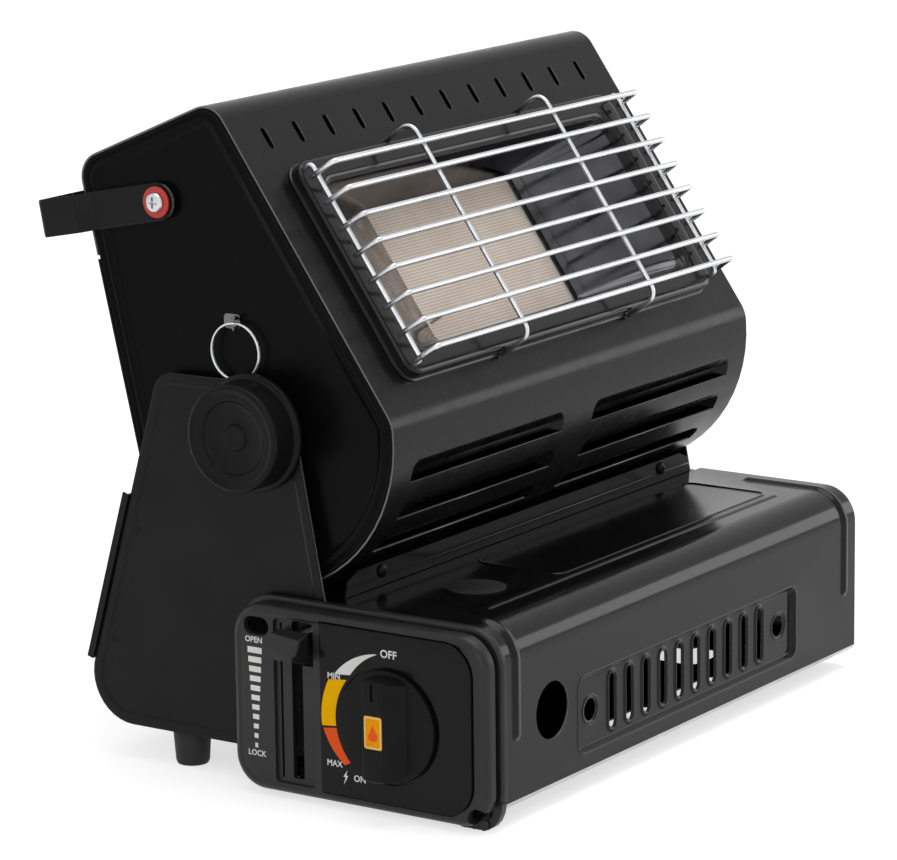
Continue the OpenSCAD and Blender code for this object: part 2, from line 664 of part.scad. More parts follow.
// direction of the stand's rear edge, from the lower corner to the tip
leg_low = [leg_back - leg_back_r, leg_bottom + leg_back_r];
leg_run = norm(leg_tip - leg_low);
rear_ang = atan2(leg_low[0] - leg_tip[0], leg_tip[1] - leg_low[1])
    + asin((leg_back_r - leg_tip_r) / leg_run);
rear_n = dir(rear_ang);
rear_t = [-rear_n[1], rear_n[0]];
back_foot = leg_low + (leg_back_r + gap) * rear_n;
back_panel_h = 75;
back_rim = 3;

module stand_back() color(steel_black) placed() difference() {
    union() {
        span(-leg_out, leg_out) polygon([back_foot, back_foot + sheet * rear_n,
            back_foot + sheet * rear_n + back_panel_h * rear_t, back_foot + back_panel_h * rear_t]);
        // upright flanges behind the side plates, and a stiffening lip along the top
        both_sides() span(leg_in - sheet - gap, leg_in - gap) polygon([back_foot - 12 * rear_n,
            back_foot + sheet * rear_n, back_foot + sheet * rear_n + back_panel_h * rear_t,
            back_foot - 12 * rear_n + back_panel_h * rear_t]);
        both_sides() span(leg_out - 0.01, leg_out + sheet) polygon([back_foot,
            back_foot + back_rim * rear_n, back_foot + back_rim * rear_n + back_panel_h * rear_t,
            back_foot + back_panel_h * rear_t]);
    }
    for (k = back_screw_k) rod_x(-leg_out, leg_out, screw_r + run,
        (back_foot - 7 * rear_n + k * rear_t)[0], (back_foot - 7 * rear_n + k * rear_t)[1]);
    // vent slots
    for (x = [-90:30:90], k = [24, 50]) translate([x, (back_foot + k * rear_t)[0], (back_foot + k * rear_t)[1]])
        rotate([90 - rear_ang, 0, 0]) translate([0, 0, 0]) slab(-4, 6) rounded(20, 5, 2.4);
}
back_screw_k = [12, 62];

module stand_floor() color(steel_black) placed() difference() {
    union() {
        block(-leg_in + gap, leg_in - gap, tray_depth + gap, leg_back - leg_back_r, leg_bottom + gap,
            leg_bottom + gap + sheet);
        // flanges against the tray's rear wall
        block(-leg_in + gap, leg_in - gap, tray_depth + gap, tray_depth + gap + sheet,
            leg_bottom + gap, leg_bottom + 14);
    }
    both_sides() translate([foot_x, rear_foot_y, 0]) cylinder(h = 40, r = foot_pin_r + run, $fn = rnd);
}

module stand_screws() color("#3a3b3d") placed() both_sides() {
    for (p = stand_screw_at) {
        rod_x(leg_out, leg_out + 1.6, 3, p[0], p[1]);
        rod_x(wall_x - 3.5, leg_out + over / 2, screw_r, p[0], p[1]);
    }
    for (k = back_screw_k) {
        p = back_foot - 7 * rear_n + k * rear_t;
        rod_x(leg_in - gap - sheet - 1.6, leg_in - gap - sheet, 3, p[0], p[1]);
        rod_x(leg_in - gap - sheet - over / 2, leg_out - gap - run, screw_r, p[0], p[1]);
    }
}

foot_x = wall_x - 9;
rear_foot_y = 160;
middle_foot_y = 80;
foot_pin_r = 2.5;
module rubber_foot(h) {
    cylinder(h = 1.5, r1 = foot_r - 0.6, r2 = foot_r, $fn = rnd);
    translate([0, 0, 1.5]) cylinder(h = h - 1.5, r1 = foot_r, r2 = foot_r + 1, $fn = rnd);
}
module rear_feet() color("#303133") placed() both_sides() translate([foot_x, rear_foot_y, 0]) {
    rubber_foot(leg_bottom + gap);
    cylinder(h = leg_bottom + gap + sheet + 3, r = foot_pin_r, $fn = rnd);
    translate([0, 0, leg_bottom + gap + sheet]) cylinder(h = 2, r = foot_pin_r + 1, $fn = rnd);
}
module middle_feet() color("#303133") placed() both_sides()
    translate([foot_x, middle_foot_y, 0]) rubber_foot(tray_bottom);

// ---- Pivot ----
bush_r = 11;
panel_x = hw - sheet - side_press;            // outer face of the pressed side panel
module pivot_bushes() color("#3a3b3d") placed() both_sides() difference() {
    rod_x(panel_x + gap, leg_in - gap / 2, bush_r, pivot_y, pivot_z);
    rod_x(panel_x - over, leg_in + over, bolt_r + run, pivot_y, pivot_z);
}

nut_t = 6;
nut_r = 5.5;
module pivot_bolts() color("silver") placed() both_sides() {
    rod_x(panel_x - sheet - 4, panel_x - sheet, 7, pivot_y, pivot_z);
    rod_x(panel_x - sheet - over, clamp_face - 5, bolt_r, pivot_y, pivot_z);
}

module clamp_knob() difference() {
    union() {
        rod_x(leg_out + gap, leg_out + 4, clamp_flange_r, pivot_y, pivot_z);
        rod_x(leg_out + gap, clamp_face - 2, clamp_r, pivot_y, pivot_z);
        translate([clamp_face - 2, pivot_y, pivot_z]) rotate([0, 90, 0])
            cylinder(h = 2, r1 = clamp_r, r2 = clamp_r - 2, $fn = 96);
    }
    // dished face round a central boss
    difference() {
        translate([clamp_face - 3, pivot_y, pivot_z]) rotate([0, 90, 0])
            cylinder(h = 3.01, r1 = clamp_r - 11, r2 = clamp_r - 5, $fn = 96);
        rod_x(clamp_face - 4, clamp_face - 1, 6, pivot_y, pivot_z);
    }
    rod_x(leg_out, clamp_face - 4, bolt_r + run, pivot_y, pivot_z);
    rod_x(leg_out + 4, leg_out + 4 + nut_t, nut_r, pivot_y, pivot_z);
}
module clamp_knob_right() color(plastic_black) placed() clamp_knob();
module clamp_knob_left() color(plastic_black) placed() mirror([1, 0, 0]) clamp_knob();
module clamp_nut() difference() {
    rod_x(leg_out + 4, leg_out + 4 + nut_t, nut_r, pivot_y, pivot_z);
    rod_x(leg_out + 3, leg_out + 5 + nut_t, bolt_r + run, pivot_y, pivot_z);
}
module clamp_nut_right() color("#b08d3c") placed() clamp_nut();
module clamp_nut_left() color("#b08d3c") placed() mirror([1, 0, 0]) clamp_nut();

// ---- Head ----
seam_ang = 38;                  // the back panel runs between these directions from the pivot
seam_low = -50;
far = 3 * drum_r;
module back_wedge(g) translate(pivot) polygon([[0, 0], far * dir(seam_low - g), far * dir(-5),
    far * dir(seam_ang + g)]);

louvre_ang = [191.2, 206.5, 223.5];
louvre_half = 4.2;
louvre_in_d = 4.5;

module louvre_hood(a) span(louvre_in, louvre_out) polygon([
    pivot + (drum_r - 0.2) * dir(a - louvre_half - 0.8), pivot + (drum_r - 0.2) * dir(a - louvre_half),
    pivot + (drum_r - louvre_in_d) * dir(a + louvre_half), pivot + (drum_r - louvre_in_d - sheet)
        * dir(a + louvre_half)]);

module head_shell() color(steel_black) placed() {
    difference() {
        span(-hw, hw) difference() {
            polygon(head_outline(0));
            polygon(head_outline(sheet));
            back_wedge(0);
        }
        face_frame() {
            for (i = [0:face_slots - 1])
                translate([(i - (face_slots - 1) / 2) * face_slot_pitch,
                    face_slot_u - face_slot_len / 2, 0]) slab(face_dist - 2, face_dist + over)
                    rounded(face_slot_w, face_slot_len, face_slot_w / 2 - 0.01);
            translate([0, flange_u, 0]) slab(face_dist - 2, face_dist + over)
                rounded(2 * flange_x - 10, flange_h - 10, 6);
        }
        for (a = louvre_ang) both_sides() translate([0, pivot_y, pivot_z])
            rotate([a, 0, 0]) translate([louvre_in, drum_r - 3, -drum_r * sin(louvre_half)])
                cube([louvre_out - louvre_in, 6, 2 * drum_r * sin(louvre_half)]);
    }
    for (a = louvre_ang) both_sides() louvre_hood(a);
}

module head_back() color(steel_black) placed() difference() {
    span(-hw, hw) intersection() {
        difference() {
            polygon(head_outline(0));
            polygon(head_outline(sheet));
        }
        back_wedge(-0.4);
    }
    // opening for the hose and the lead, long enough for every tilt
    span(-hw + 4, -hw + 62) translate(pivot) polygon([[0, 0], far * dir(-46), far * dir(-10)]);
    // air slots
    for (x = [-78:26:104], k = [24, 44]) translate([x, pivot_y, pivot_z]) rotate([m_ang - 90, 0, 0])
        translate([0, -k, 0]) slab(drum_r - 3, drum_r + 2) rounded(16, 5, 2.4);
}

module side_plate() {
    difference() {
        union() {
            span(hw - sheet, hw) difference() {
                polygon(head_outline(sheet + 0.1));
                polygon(head_outline(side_rim));
            }
            span(panel_x - sheet, hw) difference() {
                polygon(head_outline(side_rim));
                polygon(head_outline(side_rim + sheet));
            }
            span(panel_x - sheet, panel_x) polygon(head_outline(side_rim));
            // flange that the shell is screwed to
            span(hw - 9, hw) difference() {
                polygon(head_outline(sheet + 0.1));
                polygon(head_outline(2 * sheet + 0.1));
            }
        }
        rod_x(0, hw + over, bolt_r, pivot_y, pivot_z);
        rod_x(0, hw + over, screw_r, h_pivot[0], h_pivot[1]);
    }
}
module head_side_right() color(steel_black) placed() side_plate();
module head_side_left() color(steel_black) placed() mirror([1, 0, 0]) side_plate();

module side_screws() color("#3a3b3d") placed() face_frame() both_sides()
    for (u = [-10, 45, 100]) translate([hw - 5, u, face_dist - 2 * sheet - 3]) {
        cylinder(h = 3.2, r = 1.5, $fn = 24);
    }

// ---- Burner ----
module reflector() color("#b9bcc0") placed() face_frame() translate([0, flange_u, 0]) {
    slab(flange_top - sheet, flange_top) difference() {
        rounded(2 * flange_x, flange_h, 8);
        rounded(2 * dish_x, dish_h, 6);
    }
    slab(face_dist + 0.1, flange_top - sheet / 2) frame2d(2 * flange_x, flange_h, 8, sheet);
    difference() {
        dish(1.6, sheet);
        dish(0, 0);
        slab(face_dist - dish_d - over, face_dist - dish_d + over)
            square([plaque_w + 4, plaque_h + 4], center = true);
        translate([electrode_x, electrode_u - flange_u, 0]) cylinder(h = face_dist, r = 3, $fn = rnd);
    }
}

// dish between its mouth at the flange and its foot round the plaque, gx and gy wider
module dish(gx, gy) hull() {
    slab(flange_top - sheet, flange_top - sheet + 0.5)
        square([2 * (dish_x + gx), dish_h + 2 * gy], center = true);
    slab(face_dist - dish_d, face_dist - dish_d + 0.5)
        square([plaque_w + 4 + 2 * gx, plaque_h + 4 + 2 * gy], center = true);
}

module ceramic_plaque() color("#e6d6c2") placed() face_frame() translate([0, flange_u, 0])
    slab(plaque_z - plaque_t, plaque_z) square([plaque_w, plaque_h], center = true);

module plaque_gasket() color("#d9d5cc") placed() face_frame() translate([0, flange_u, 0])
    slab(plaque_z - plaque_t, plaque_z) difference() {
        square([plaque_w + 2 * gasket_t, plaque_h + 2 * gasket_t], center = true);
        square([plaque_w, plaque_h], center = true);
    }

box_back = plaque_z - burner_d;
module burner_box() color("#a9a7a2") placed() face_frame() translate([0, flange_u, 0]) difference() {
    union() {
        slab(box_back, plaque_z) square([box_w, box_h], center = true);
        // fixing flange under the dish's foot
        slab(plaque_z - box_wall, plaque_z) square([box_w + 12, box_h + 10], center = true);
    }
    slab(plaque_z - plaque_t, plaque_z + over)
        square([box_w - 2 * box_wall, box_h - 2 * box_wall], center = true);
    // the plaque seats on a ledge
    slab(box_back + box_wall, plaque_z - plaque_t + over)
        square([plaque_w - 6, plaque_h - 6], center = true);
    translate([-box_w / 2 - over, 0, tube_z]) rotate([0, 90, 0])
        cylinder(h = 8 * over, r = mixer_r, $fn = rnd);
}

mixer_r = 8;
tube_z = plaque_z - burner_d + 14;
tube_x = 22.7 - panel_x;        // outer end of the mixer tube, clear of the head's side
module mixer_tube() color("#b5b0a6") placed() face_frame() translate([0, flange_u, tube_z])
    difference() {
        union() {
            rod_x(tube_x, -box_w / 2 + 3, mixer_r, 0, 0);
            rod_x(tube_x, tube_x + 12, mixer_r + 3, 0, 0);
        }
        rod_x(tube_x + 2, -box_w / 2 + 4, mixer_r - 1.5, 0, 0);
        rod_x(tube_x - over, tube_x + 3, 3.5, 0, 0);
        // air ports
        for (a = [0:90:270]) rotate([a, 0, 0]) translate([tube_x + 7, 0, mixer_r - 3])
            cylinder(h = 8, r = 2.2, $fn = rnd);
    }

module gas_jet() color("#c9a24a") placed() face_frame() translate([0, flange_u, tube_z]) difference() {
    union() {
        rod_x(tube_x - 14, tube_x, 5, 0, 0);
        rod_x(tube_x - 1, tube_x + 4, 3.4, 0, 0);
        // elbow for the hose
        translate([tube_x - 10.5, 0, 0]) rotate([90, 0, 0]) cylinder(h = 12, r = 4, $fn = rnd);
    }
    rod_x(tube_x - 11, tube_x + 3, 1.6, 0, 0);
}

module heat_shield() color("#c2c4c6") placed() face_frame() translate([0, flange_u, 0]) {
    slab(box_back - 16, box_back - 16 + sheet) square([box_w + 60, box_h + 30], center = true);
    for (x = [-1, 1]) translate([x * (box_w / 2 - 6), 0, 0]) slab(box_back - 16 + sheet, box_back)
        square([8, 20], center = true);
}

electrode_u = 12;
module spark_electrode() color("#f0ece2") placed() face_frame() translate([electrode_x, electrode_u, 0]) {
    slab(plaque_z - 14, plaque_z + 8) circle(2.2, $fn = rnd);
    slab(plaque_z + 7, plaque_z + 11) circle(0.8, $fn = 24);
    translate([-0.8, 0, plaque_z + 10.2]) rotate([0, 90, 0]) cylinder(h = 16, r = 0.8, $fn = 24);
    translate([14.4, 0, 0]) slab(plaque_z + 3, plaque_z + 11) circle(0.8, $fn = 24);
}

// ---- Guard ----
guard_drop = 2;                 // the bars sit this far below the middle of the flange
guard_top = flange_u - guard_drop + (guard_bars - 1) / 2 * guard_pitch;
wire_in = flange_rise + 5;      // the outer wires stand this far above the face
mid_wire = 49;
hook = flange_h / 2 + bar_r + 0.2;
module wire_x(x, u0, u1, z) translate([x, u0, z]) rotate([-90, 0, 0])
    cylinder(h = u1 - u0, r = bar_r - 0.2, $fn = 16);

module guard_grille() color("#dfe2e6") placed() face_frame() {
    for (i = [0:guard_bars - 1]) translate([0, guard_top - i * guard_pitch, face_dist]) {
        rod_x(-guard_x, guard_x, bar_r, 0, guard_rise);
        both_sides() translate([guard_x, 0, wire_in]) {
            cylinder(h = guard_rise - wire_in, r = bar_r, $fn = 24);
            translate([0, 0, guard_rise - wire_in]) sphere(r = bar_r, $fn = 24);
        }
    }
    both_sides() {
        wire_x(guard_x, flange_u - hook + 6, flange_u + hook - 6, face_dist + wire_in);
        wire_x(mid_wire, flange_u - hook, flange_u + hook, face_dist + guard_rise - 2 * bar_r + 0.4);
        for (s = [-1, 1]) translate([mid_wire, flange_u + s * hook, face_dist + 1.5]) {
            cylinder(h = guard_rise - 2 * bar_r - 1.3, r = bar_r - 0.2, $fn = 16);
            translate([0, 0, guard_rise - 2 * bar_r - 1.3]) sphere(r = bar_r - 0.2, $fn = 16);
        }
        // feet of the outer wires, down to the flange
        for (s = [-1, 1]) translate([guard_x, flange_u + s * (hook - 6), face_dist + flange_rise])
            cylinder(h = wire_in - flange_rise, r = bar_r - 0.2, $fn = 16);
    }
}

// ---- Handle and ring ----
arm_in = hw + gap;
joggle = 5;
joggle_at = 33;
// strap drawn in the plane of its length (along the arm, and outwards)
module strap(x, y0, y1) block(x, x + handle_t, y0, y1, -handle_w / 2, handle_w / 2);
module carry_handle() color(steel_black) placed() translate([0, h_pivot[0], h_pivot[1]])
    rotate([-handle_droop, 0, 0]) difference() {
        union() {
            both_sides() {
                strap(arm_in, 0, joggle_at);
                rod_x(arm_in, arm_in + handle_t, handle_w / 2, 0, 0);
                // joggle outwards
                linear_extrude(handle_w, center = true) polygon([
                    [arm_in, joggle_at], [arm_in + handle_t, joggle_at],
                    [arm_in + joggle + handle_t, joggle_at + joggle],
                    [arm_in + joggle, joggle_at + joggle]]);
                strap(arm_in + joggle, joggle_at + joggle, handle_len + handle_t);
            }
            block(-arm_in - joggle, arm_in + joggle, handle_len, handle_len + handle_t,
                -handle_w / 2, handle_w / 2);
        }
        rod_x(-hw - 20, hw + 20, handle_screw_r + run, 0, 0);
    }

handle_screw_r = 2;
washer_t = 1.2;
module handle_washers() color("#c8241f") placed() both_sides() difference() {
    rod_x(arm_in + handle_t + gap / 2, arm_in + handle_t + gap / 2 + washer_t, 6.4, h_pivot[0], h_pivot[1]);
    rod_x(hw, hw + 20, handle_screw_r + run, h_pivot[0], h_pivot[1]);
}
module handle_screws() color("silver") placed() both_sides() {
    x = arm_in + handle_t + gap / 2 + washer_t;
    difference() {
        rod_x(x, x + 2, 4, h_pivot[0], h_pivot[1]);
        block(x + 1, x + 3, h_pivot[0] - 2.6, h_pivot[0] + 2.6, h_pivot[1] - 0.5, h_pivot[1] + 0.5);
        block(x + 1, x + 3, h_pivot[0] - 0.5, h_pivot[0] + 0.5, h_pivot[1] - 2.6, h_pivot[1] + 2.6);
    }
    rod_x(hw, x + 0.5, handle_screw_r, h_pivot[0], h_pivot[1]);
    rod_x(panel_x - 4, hw + 0.01, screw_r, h_pivot[0], h_pivot[1]);
    rod_x(panel_x - sheet - 3, panel_x - sheet, 3.5, h_pivot[0], h_pivot[1]);
}

lug_y = 127.5;
lug_z = 188.5;
lug_r = 3.3;
lug_t = 1;
ring_r = 11.6;
ring_wire = 1;
ring_gap = 0.85;                // lets the ring swing in the lug's hole
ring_x = -hw - 1.5;
module ring_lug() color("#8f9194") placed() difference() {
    union() {
        translate([ring_x, lug_y - lug_t / 2, lug_z]) rotate([-90, 0, 0])
            cylinder(h = lug_t, r = lug_r, $fn = rnd);
        block(ring_x, -panel_x, lug_y - lug_t / 2, lug_y + lug_t / 2, lug_z - lug_r, lug_z + lug_r);
        // foot on the side plate
        block(-panel_x - lug_t, -panel_x, lug_y - lug_t / 2, lug_y + 8, lug_z - lug_r, lug_z + lug_r);
    }
    translate([ring_x, lug_y - 2, lug_z]) rotate([-90, 0, 0])
        cylinder(h = 4, r = ring_wire + ring_gap, $fn = rnd);
}
module split_ring() color("#c9ccd0") placed()
    translate([ring_x, lug_y, lug_z - ring_r]) rotate([0, 90, 0])
        rotate_extrude($fn = 96) translate([ring_r, 0]) circle(ring_wire, $fn = 24);

base_tray();
rear_deck();
deck_screws();
hinge_pins();
leg_left();
leg_right();
stand_back();
stand_floor();
stand_screws();
rear_feet();
middle_feet();
control_housing();
control_plate();
housing_screws();
regulator();
socket_seal();
valve_body();
piezo_igniter();
yoke_rail();
pivot_bushes();
gas_hose();
ignition_wire();
cartridge_cover();
lock_lever();
cartridge_yoke();
gas_knob();
knob_badge();
valve_stem();
head_shell();
head_back();
head_side_left();
head_side_right();
side_screws();
reflector();
ceramic_plaque();
plaque_gasket();
burner_box();
mixer_tube();
gas_jet();
heat_shield();
spark_electrode();
guard_grille();
pivot_bolts();
ring_lug();
handle_screws();
handle_washers();
carry_handle();
split_ring();
clamp_knob_left();
clamp_knob_right();
clamp_nut_left();
clamp_nut_right();
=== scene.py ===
import bpy
import bmesh
import json
import math
import numpy as np
from mathutils import Vector, Matrix
from mathutils.geometry import convex_hull_2d, delaunay_2d_cdt

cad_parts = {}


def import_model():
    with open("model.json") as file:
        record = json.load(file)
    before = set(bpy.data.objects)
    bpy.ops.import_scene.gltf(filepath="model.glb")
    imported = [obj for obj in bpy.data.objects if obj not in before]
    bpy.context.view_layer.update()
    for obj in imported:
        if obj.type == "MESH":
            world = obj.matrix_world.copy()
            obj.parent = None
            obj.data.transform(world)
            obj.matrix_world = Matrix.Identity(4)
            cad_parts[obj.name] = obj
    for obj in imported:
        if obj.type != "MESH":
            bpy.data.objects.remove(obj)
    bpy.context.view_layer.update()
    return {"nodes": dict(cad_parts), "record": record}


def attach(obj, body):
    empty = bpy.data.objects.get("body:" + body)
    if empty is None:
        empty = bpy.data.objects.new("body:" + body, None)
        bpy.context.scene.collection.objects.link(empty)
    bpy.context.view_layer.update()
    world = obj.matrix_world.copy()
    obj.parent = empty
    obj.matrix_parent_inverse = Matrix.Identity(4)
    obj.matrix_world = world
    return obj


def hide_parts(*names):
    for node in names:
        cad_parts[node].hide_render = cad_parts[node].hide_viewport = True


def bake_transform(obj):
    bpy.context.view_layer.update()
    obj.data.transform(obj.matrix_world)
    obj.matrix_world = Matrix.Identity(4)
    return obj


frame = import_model()
NODES = frame["nodes"]

# Sizes in the part's own millimetres: x from the middle, y from the base's front face, z from the floor.
MID_X, MID_Y = -4.4, 110.402  # the shared frame's origin
SHEET = 0.8
PIVOT = (117.0, 146.0)  # (y, z) of the head's axis
HANDLE_AXIS = (164.7, 234.4)
KNOB = (44.7, 38.6)  # (y, z) of the gas knob's axis
BADGE = (44.5, 38.6)
CORNER_SCREW = (5.4, 7.4)
RING = (127.5, 176.9)
DRUM_R, HEAD_R, CHIN_R = 64.5, 11.0, 14.0  # radii of the head's drum, upper bends and chin
TILT = 34.8
FACE, TOP = 57.8, 128.58  # the face's and the top's distance from the head's axis
N_ANG, U_ANG = 180 - TILT, 90 - TILT  # ways out of the face and up it
M_ANG, T_ANG = -13.0, 67.0  # ways out of the back and the top
WINDOW_U = 35  # height of the window's middle up the face
PLATE_X, SCALE_X = -154.83, -153.8  # planes of the printing on the plate and on the housing
CORNERS = ((-1, -1), (1, -1), (1, 1), (-1, 1))
SIDES = ((-1, "left"), (1, "right"))


def world(p):
    return Vector(((p[0] - MID_X) / 1000, (p[1] - MID_Y) / 1000, p[2] / 1000))


def body_of_node(node):
    for name, members in frame["record"]["behaviour"]["bodies"].items():
        if node in members:
            return name


# ---- materials
class Nodes:
    def __init__(self, name):
        self.mat = bpy.data.materials.new(name)
        self.mat.use_nodes = True
        self.tree = self.mat.node_tree
        self.bsdf = self.tree.nodes["Principled BSDF"]
        self.coord = self.tree.nodes.new("ShaderNodeTexCoord")

    def new(self, kind, **sockets):
        n = self.tree.nodes.new(kind)
        for k, v in sockets.items():
            n.inputs[k].default_value = v
        return n

    def link(self, a, b):
        self.tree.links.new(a, b)

    def noise(self, scale, detail):
        n = self.new("ShaderNodeTexNoise", Scale=scale, Detail=detail, Roughness=0.5)
        self.link(self.coord.outputs["Object"], n.inputs["Vector"])
        return n.outputs["Fac"]

    def ramp(self, source, dark, light):
        r = self.tree.nodes.new("ShaderNodeValToRGB")
        for i, (at, color) in enumerate(((0.3, dark), (0.7, light))):
            r.color_ramp.elements[i].position = at
            r.color_ramp.elements[i].color = (*color, 1)
        self.link(source, r.inputs["Fac"])
        return r.outputs["Color"]

    def map(self, source, a, b, lo, hi):
        m = self.new("ShaderNodeMapRange", **{"From Min": lo, "From Max": hi, "To Min": a, "To Max": b})
        self.link(source, m.inputs["Value"])
        return m.outputs["Result"]

    def bump(self, source, strength, distance):
        b = self.new("ShaderNodeBump", Strength=strength, Distance=distance)
        self.link(source, b.inputs["Height"])
        self.link(b.outputs["Normal"], self.bsdf.inputs["Normal"])


def surface(name, color, rough, metallic=0.0, spec=0.5, spread=0.15, grain=900, bump=0.05, rough_spread=0.06):
    """Colour and gloss that vary a little in clouds, with a fine grain."""
    m = Nodes(name)
    m.bsdf.inputs["Metallic"].default_value = metallic
    m.bsdf.inputs["Specular IOR Level"].default_value = spec
    dark = tuple(c * (1 - spread) for c in color)
    light = tuple(min(c * (1 + spread), 1) for c in color)
    m.link(m.ramp(m.noise(38, 3), dark, light), m.bsdf.inputs["Base Color"])
    gloss = m.map(m.noise(90, 3), rough - rough_spread, rough + rough_spread, 0.3, 0.7)
    m.link(gloss, m.bsdf.inputs["Roughness"])
    m.bump(m.noise(grain, 2), bump, 0.0004)
    return m.mat


def printed(name, color):
    return surface(name, color, 0.6, spec=0.03, bump=0.03, spread=0.05)


ENAMEL = surface("black_enamel", (0.006, 0.006, 0.0066), 0.27, spec=0.15, bump=0.02)
# Darker, less glossy copy of the black enamel for the head's side plates: painted shade.
ENAMEL_PAINTED_SHADE_SIDE = surface("black_enamel_side_painted_shade", (0.003, 0.003, 0.0034), 0.3, spec=0.05, bump=0.02)
ENAMEL_LEG = surface("black_enamel_leg", (0.006, 0.006, 0.0064), 0.32, spec=0.13, bump=0.02)
ENAMEL_BASE = surface("black_enamel_base", (0.004, 0.004, 0.0045), 0.13, spec=0.2, bump=0.012, rough_spread=0.02)
# Darker, less glossy copy of the black enamel for the rear rail: painted shade.
ENAMEL_PAINTED_SHADE_RAIL = surface("black_enamel_rail_painted_shade", (0.004, 0.004, 0.0045), 0.2, spec=0.07, bump=0.015)
# Lighter, duller copy of the black enamel for the disc on the cover: painted light.
ENAMEL_PAINTED_LIGHT_DISC = surface("black_enamel_disc_painted_light", (0.012, 0.012, 0.0125), 0.5, spec=0.3, bump=0.03)
HEM = surface("zinc_hem", (0.5, 0.5, 0.5), 0.3, metallic=1, grain=600, bump=0.03)
# Matt black for the flat sheet in the housing's oval recess: painted shade.
PAINTED_SHADE_MATT = surface("painted_shade_recess", (0.002, 0.002, 0.002), 0.9, spec=0.02, bump=0.02)
SCREW_BLACK = surface("screw_black", (0.006, 0.006, 0.0065), 0.4, spec=0.1, bump=0.03)
FLANGE = surface("black_enamel_gloss", (0.005, 0.005, 0.0055), 0.14, spec=0.25, grain=600, bump=0.02)
# Lighter grey on the cut edges of the pressed sheets: painted highlight along the edges.
EDGE_PAINTED_HIGHLIGHT = surface("sheet_edge_painted_highlight", (0.10, 0.10, 0.105), 0.3, spec=0.7, bump=0.05)
PLASTIC = surface("black_plastic", (0.010, 0.010, 0.011), 0.42, spec=0.33, grain=1500, bump=0.05)
# Darker, less glossy copy of the black plastic for the gas and clamp knobs: painted shade.
PLASTIC_PAINTED_SHADE_KNOB = surface("black_plastic_knob_painted_shade", (0.006, 0.006, 0.0065), 0.36, spec=0.1, grain=1500, bump=0.04)
PLATE = surface("plate_black", (0.006, 0.006, 0.0066), 0.2, spec=0.13, grain=500, bump=0.02)
STEEL = surface("zinc_steel", (0.55, 0.56, 0.57), 0.32, metallic=1, grain=400, bump=0.04)
STEEL_DARK = surface("dull_steel", (0.16, 0.16, 0.165), 0.4, metallic=1, grain=400, bump=0.06)
CHROME = surface("chrome", (0.62, 0.63, 0.65), 0.3, metallic=1, spread=0.12, grain=800, bump=0.3)
DISH = surface("polished_steel", (0.075, 0.075, 0.08), 0.13, metallic=1, spread=0.35, grain=60, bump=0.12,
               rough_spread=0.07)
ALUMINISED = surface("aluminised", (0.5, 0.5, 0.5), 0.4, metallic=1, grain=300, bump=0.06)
CAST = surface("cast_box", (0.33, 0.32, 0.3), 0.65, metallic=1, grain=350, bump=0.2)
BRASS = surface("brass", (0.62, 0.44, 0.17), 0.3, metallic=1, grain=300, bump=0.05)
RUBBER = surface("rubber", (0.018, 0.018, 0.019), 0.62, spec=0.3, grain=1200, bump=0.12)
SEAL = surface("seal_rubber", (0.22, 0.07, 0.03), 0.6, bump=0.1)
FIBRE = surface("fibre", (0.7, 0.68, 0.62), 0.9, grain=1200, bump=0.3)
RED_LEAD = surface("lead_red", (0.42, 0.03, 0.02), 0.45, grain=700, bump=0.05)
WHITE_PLASTIC = surface("igniter_white", (0.7, 0.68, 0.6), 0.4, grain=700, bump=0.04)
PORCELAIN = surface("porcelain", (0.8, 0.78, 0.7), 0.15, grain=300, bump=0.03)
RED_WASHER = surface("washer_red", (0.55, 0.03, 0.02), 0.35, bump=0.05)
ORANGE = printed("badge_orange", (0.95, 0.36, 0.003))
PRINT_WHITE = printed("print_white", (0.82, 0.82, 0.8))
PRINT_YELLOW = printed("print_yellow", (1.0, 0.5, 0.002))
PRINT_PALE = printed("print_pale", (0.85, 0.6, 0.22))
PRINT_RED = printed("print_red", (0.92, 0.115, 0.025))

NODE_MATERIAL = {
    "control_housing": PLASTIC, "gas_knob": PLASTIC_PAINTED_SHADE_KNOB, "lock_lever": PLASTIC,
    "clamp_knob_left": PLASTIC_PAINTED_SHADE_KNOB, "clamp_knob_right": PLASTIC_PAINTED_SHADE_KNOB, "control_plate": PLATE,
    "knob_badge": ORANGE, "reflector": DISH, "guard_grille": CHROME, "deck_screws": SCREW_BLACK,
    "stand_screws": SCREW_BLACK, "housing_screws": STEEL, "side_screws": STEEL_DARK, "hinge_pins": STEEL,
    "rear_feet": RUBBER, "middle_feet": RUBBER, "regulator": ALUMINISED, "socket_seal": SEAL,
    "valve_body": ALUMINISED, "piezo_igniter": WHITE_PLASTIC, "yoke_rail": STEEL, "pivot_bushes": STEEL,
    "gas_hose": RUBBER, "ignition_wire": RED_LEAD, "cartridge_yoke": STEEL, "valve_stem": BRASS,
    "plaque_gasket": FIBRE, "burner_box": CAST, "mixer_tube": CAST, "gas_jet": BRASS,
    "heat_shield": ALUMINISED, "spark_electrode": PORCELAIN, "pivot_bolts": STEEL, "ring_lug": STEEL_DARK,
    "handle_screws": CHROME, "handle_washers": RED_WASHER, "split_ring": CHROME, "clamp_nut_left": BRASS,
    "clamp_nut_right": BRASS, "head_side_left": ENAMEL_PAINTED_SHADE_SIDE, "head_side_right": ENAMEL_PAINTED_SHADE_SIDE,
    "leg_left": ENAMEL_LEG, "leg_right": ENAMEL_LEG, "cartridge_cover": ENAMEL_BASE,
    "base_tray": ENAMEL_BASE, "rear_deck": ENAMEL_PAINTED_SHADE_RAIL, "stand_back": ENAMEL_LEG, "carry_handle": ENAMEL_LEG,
}


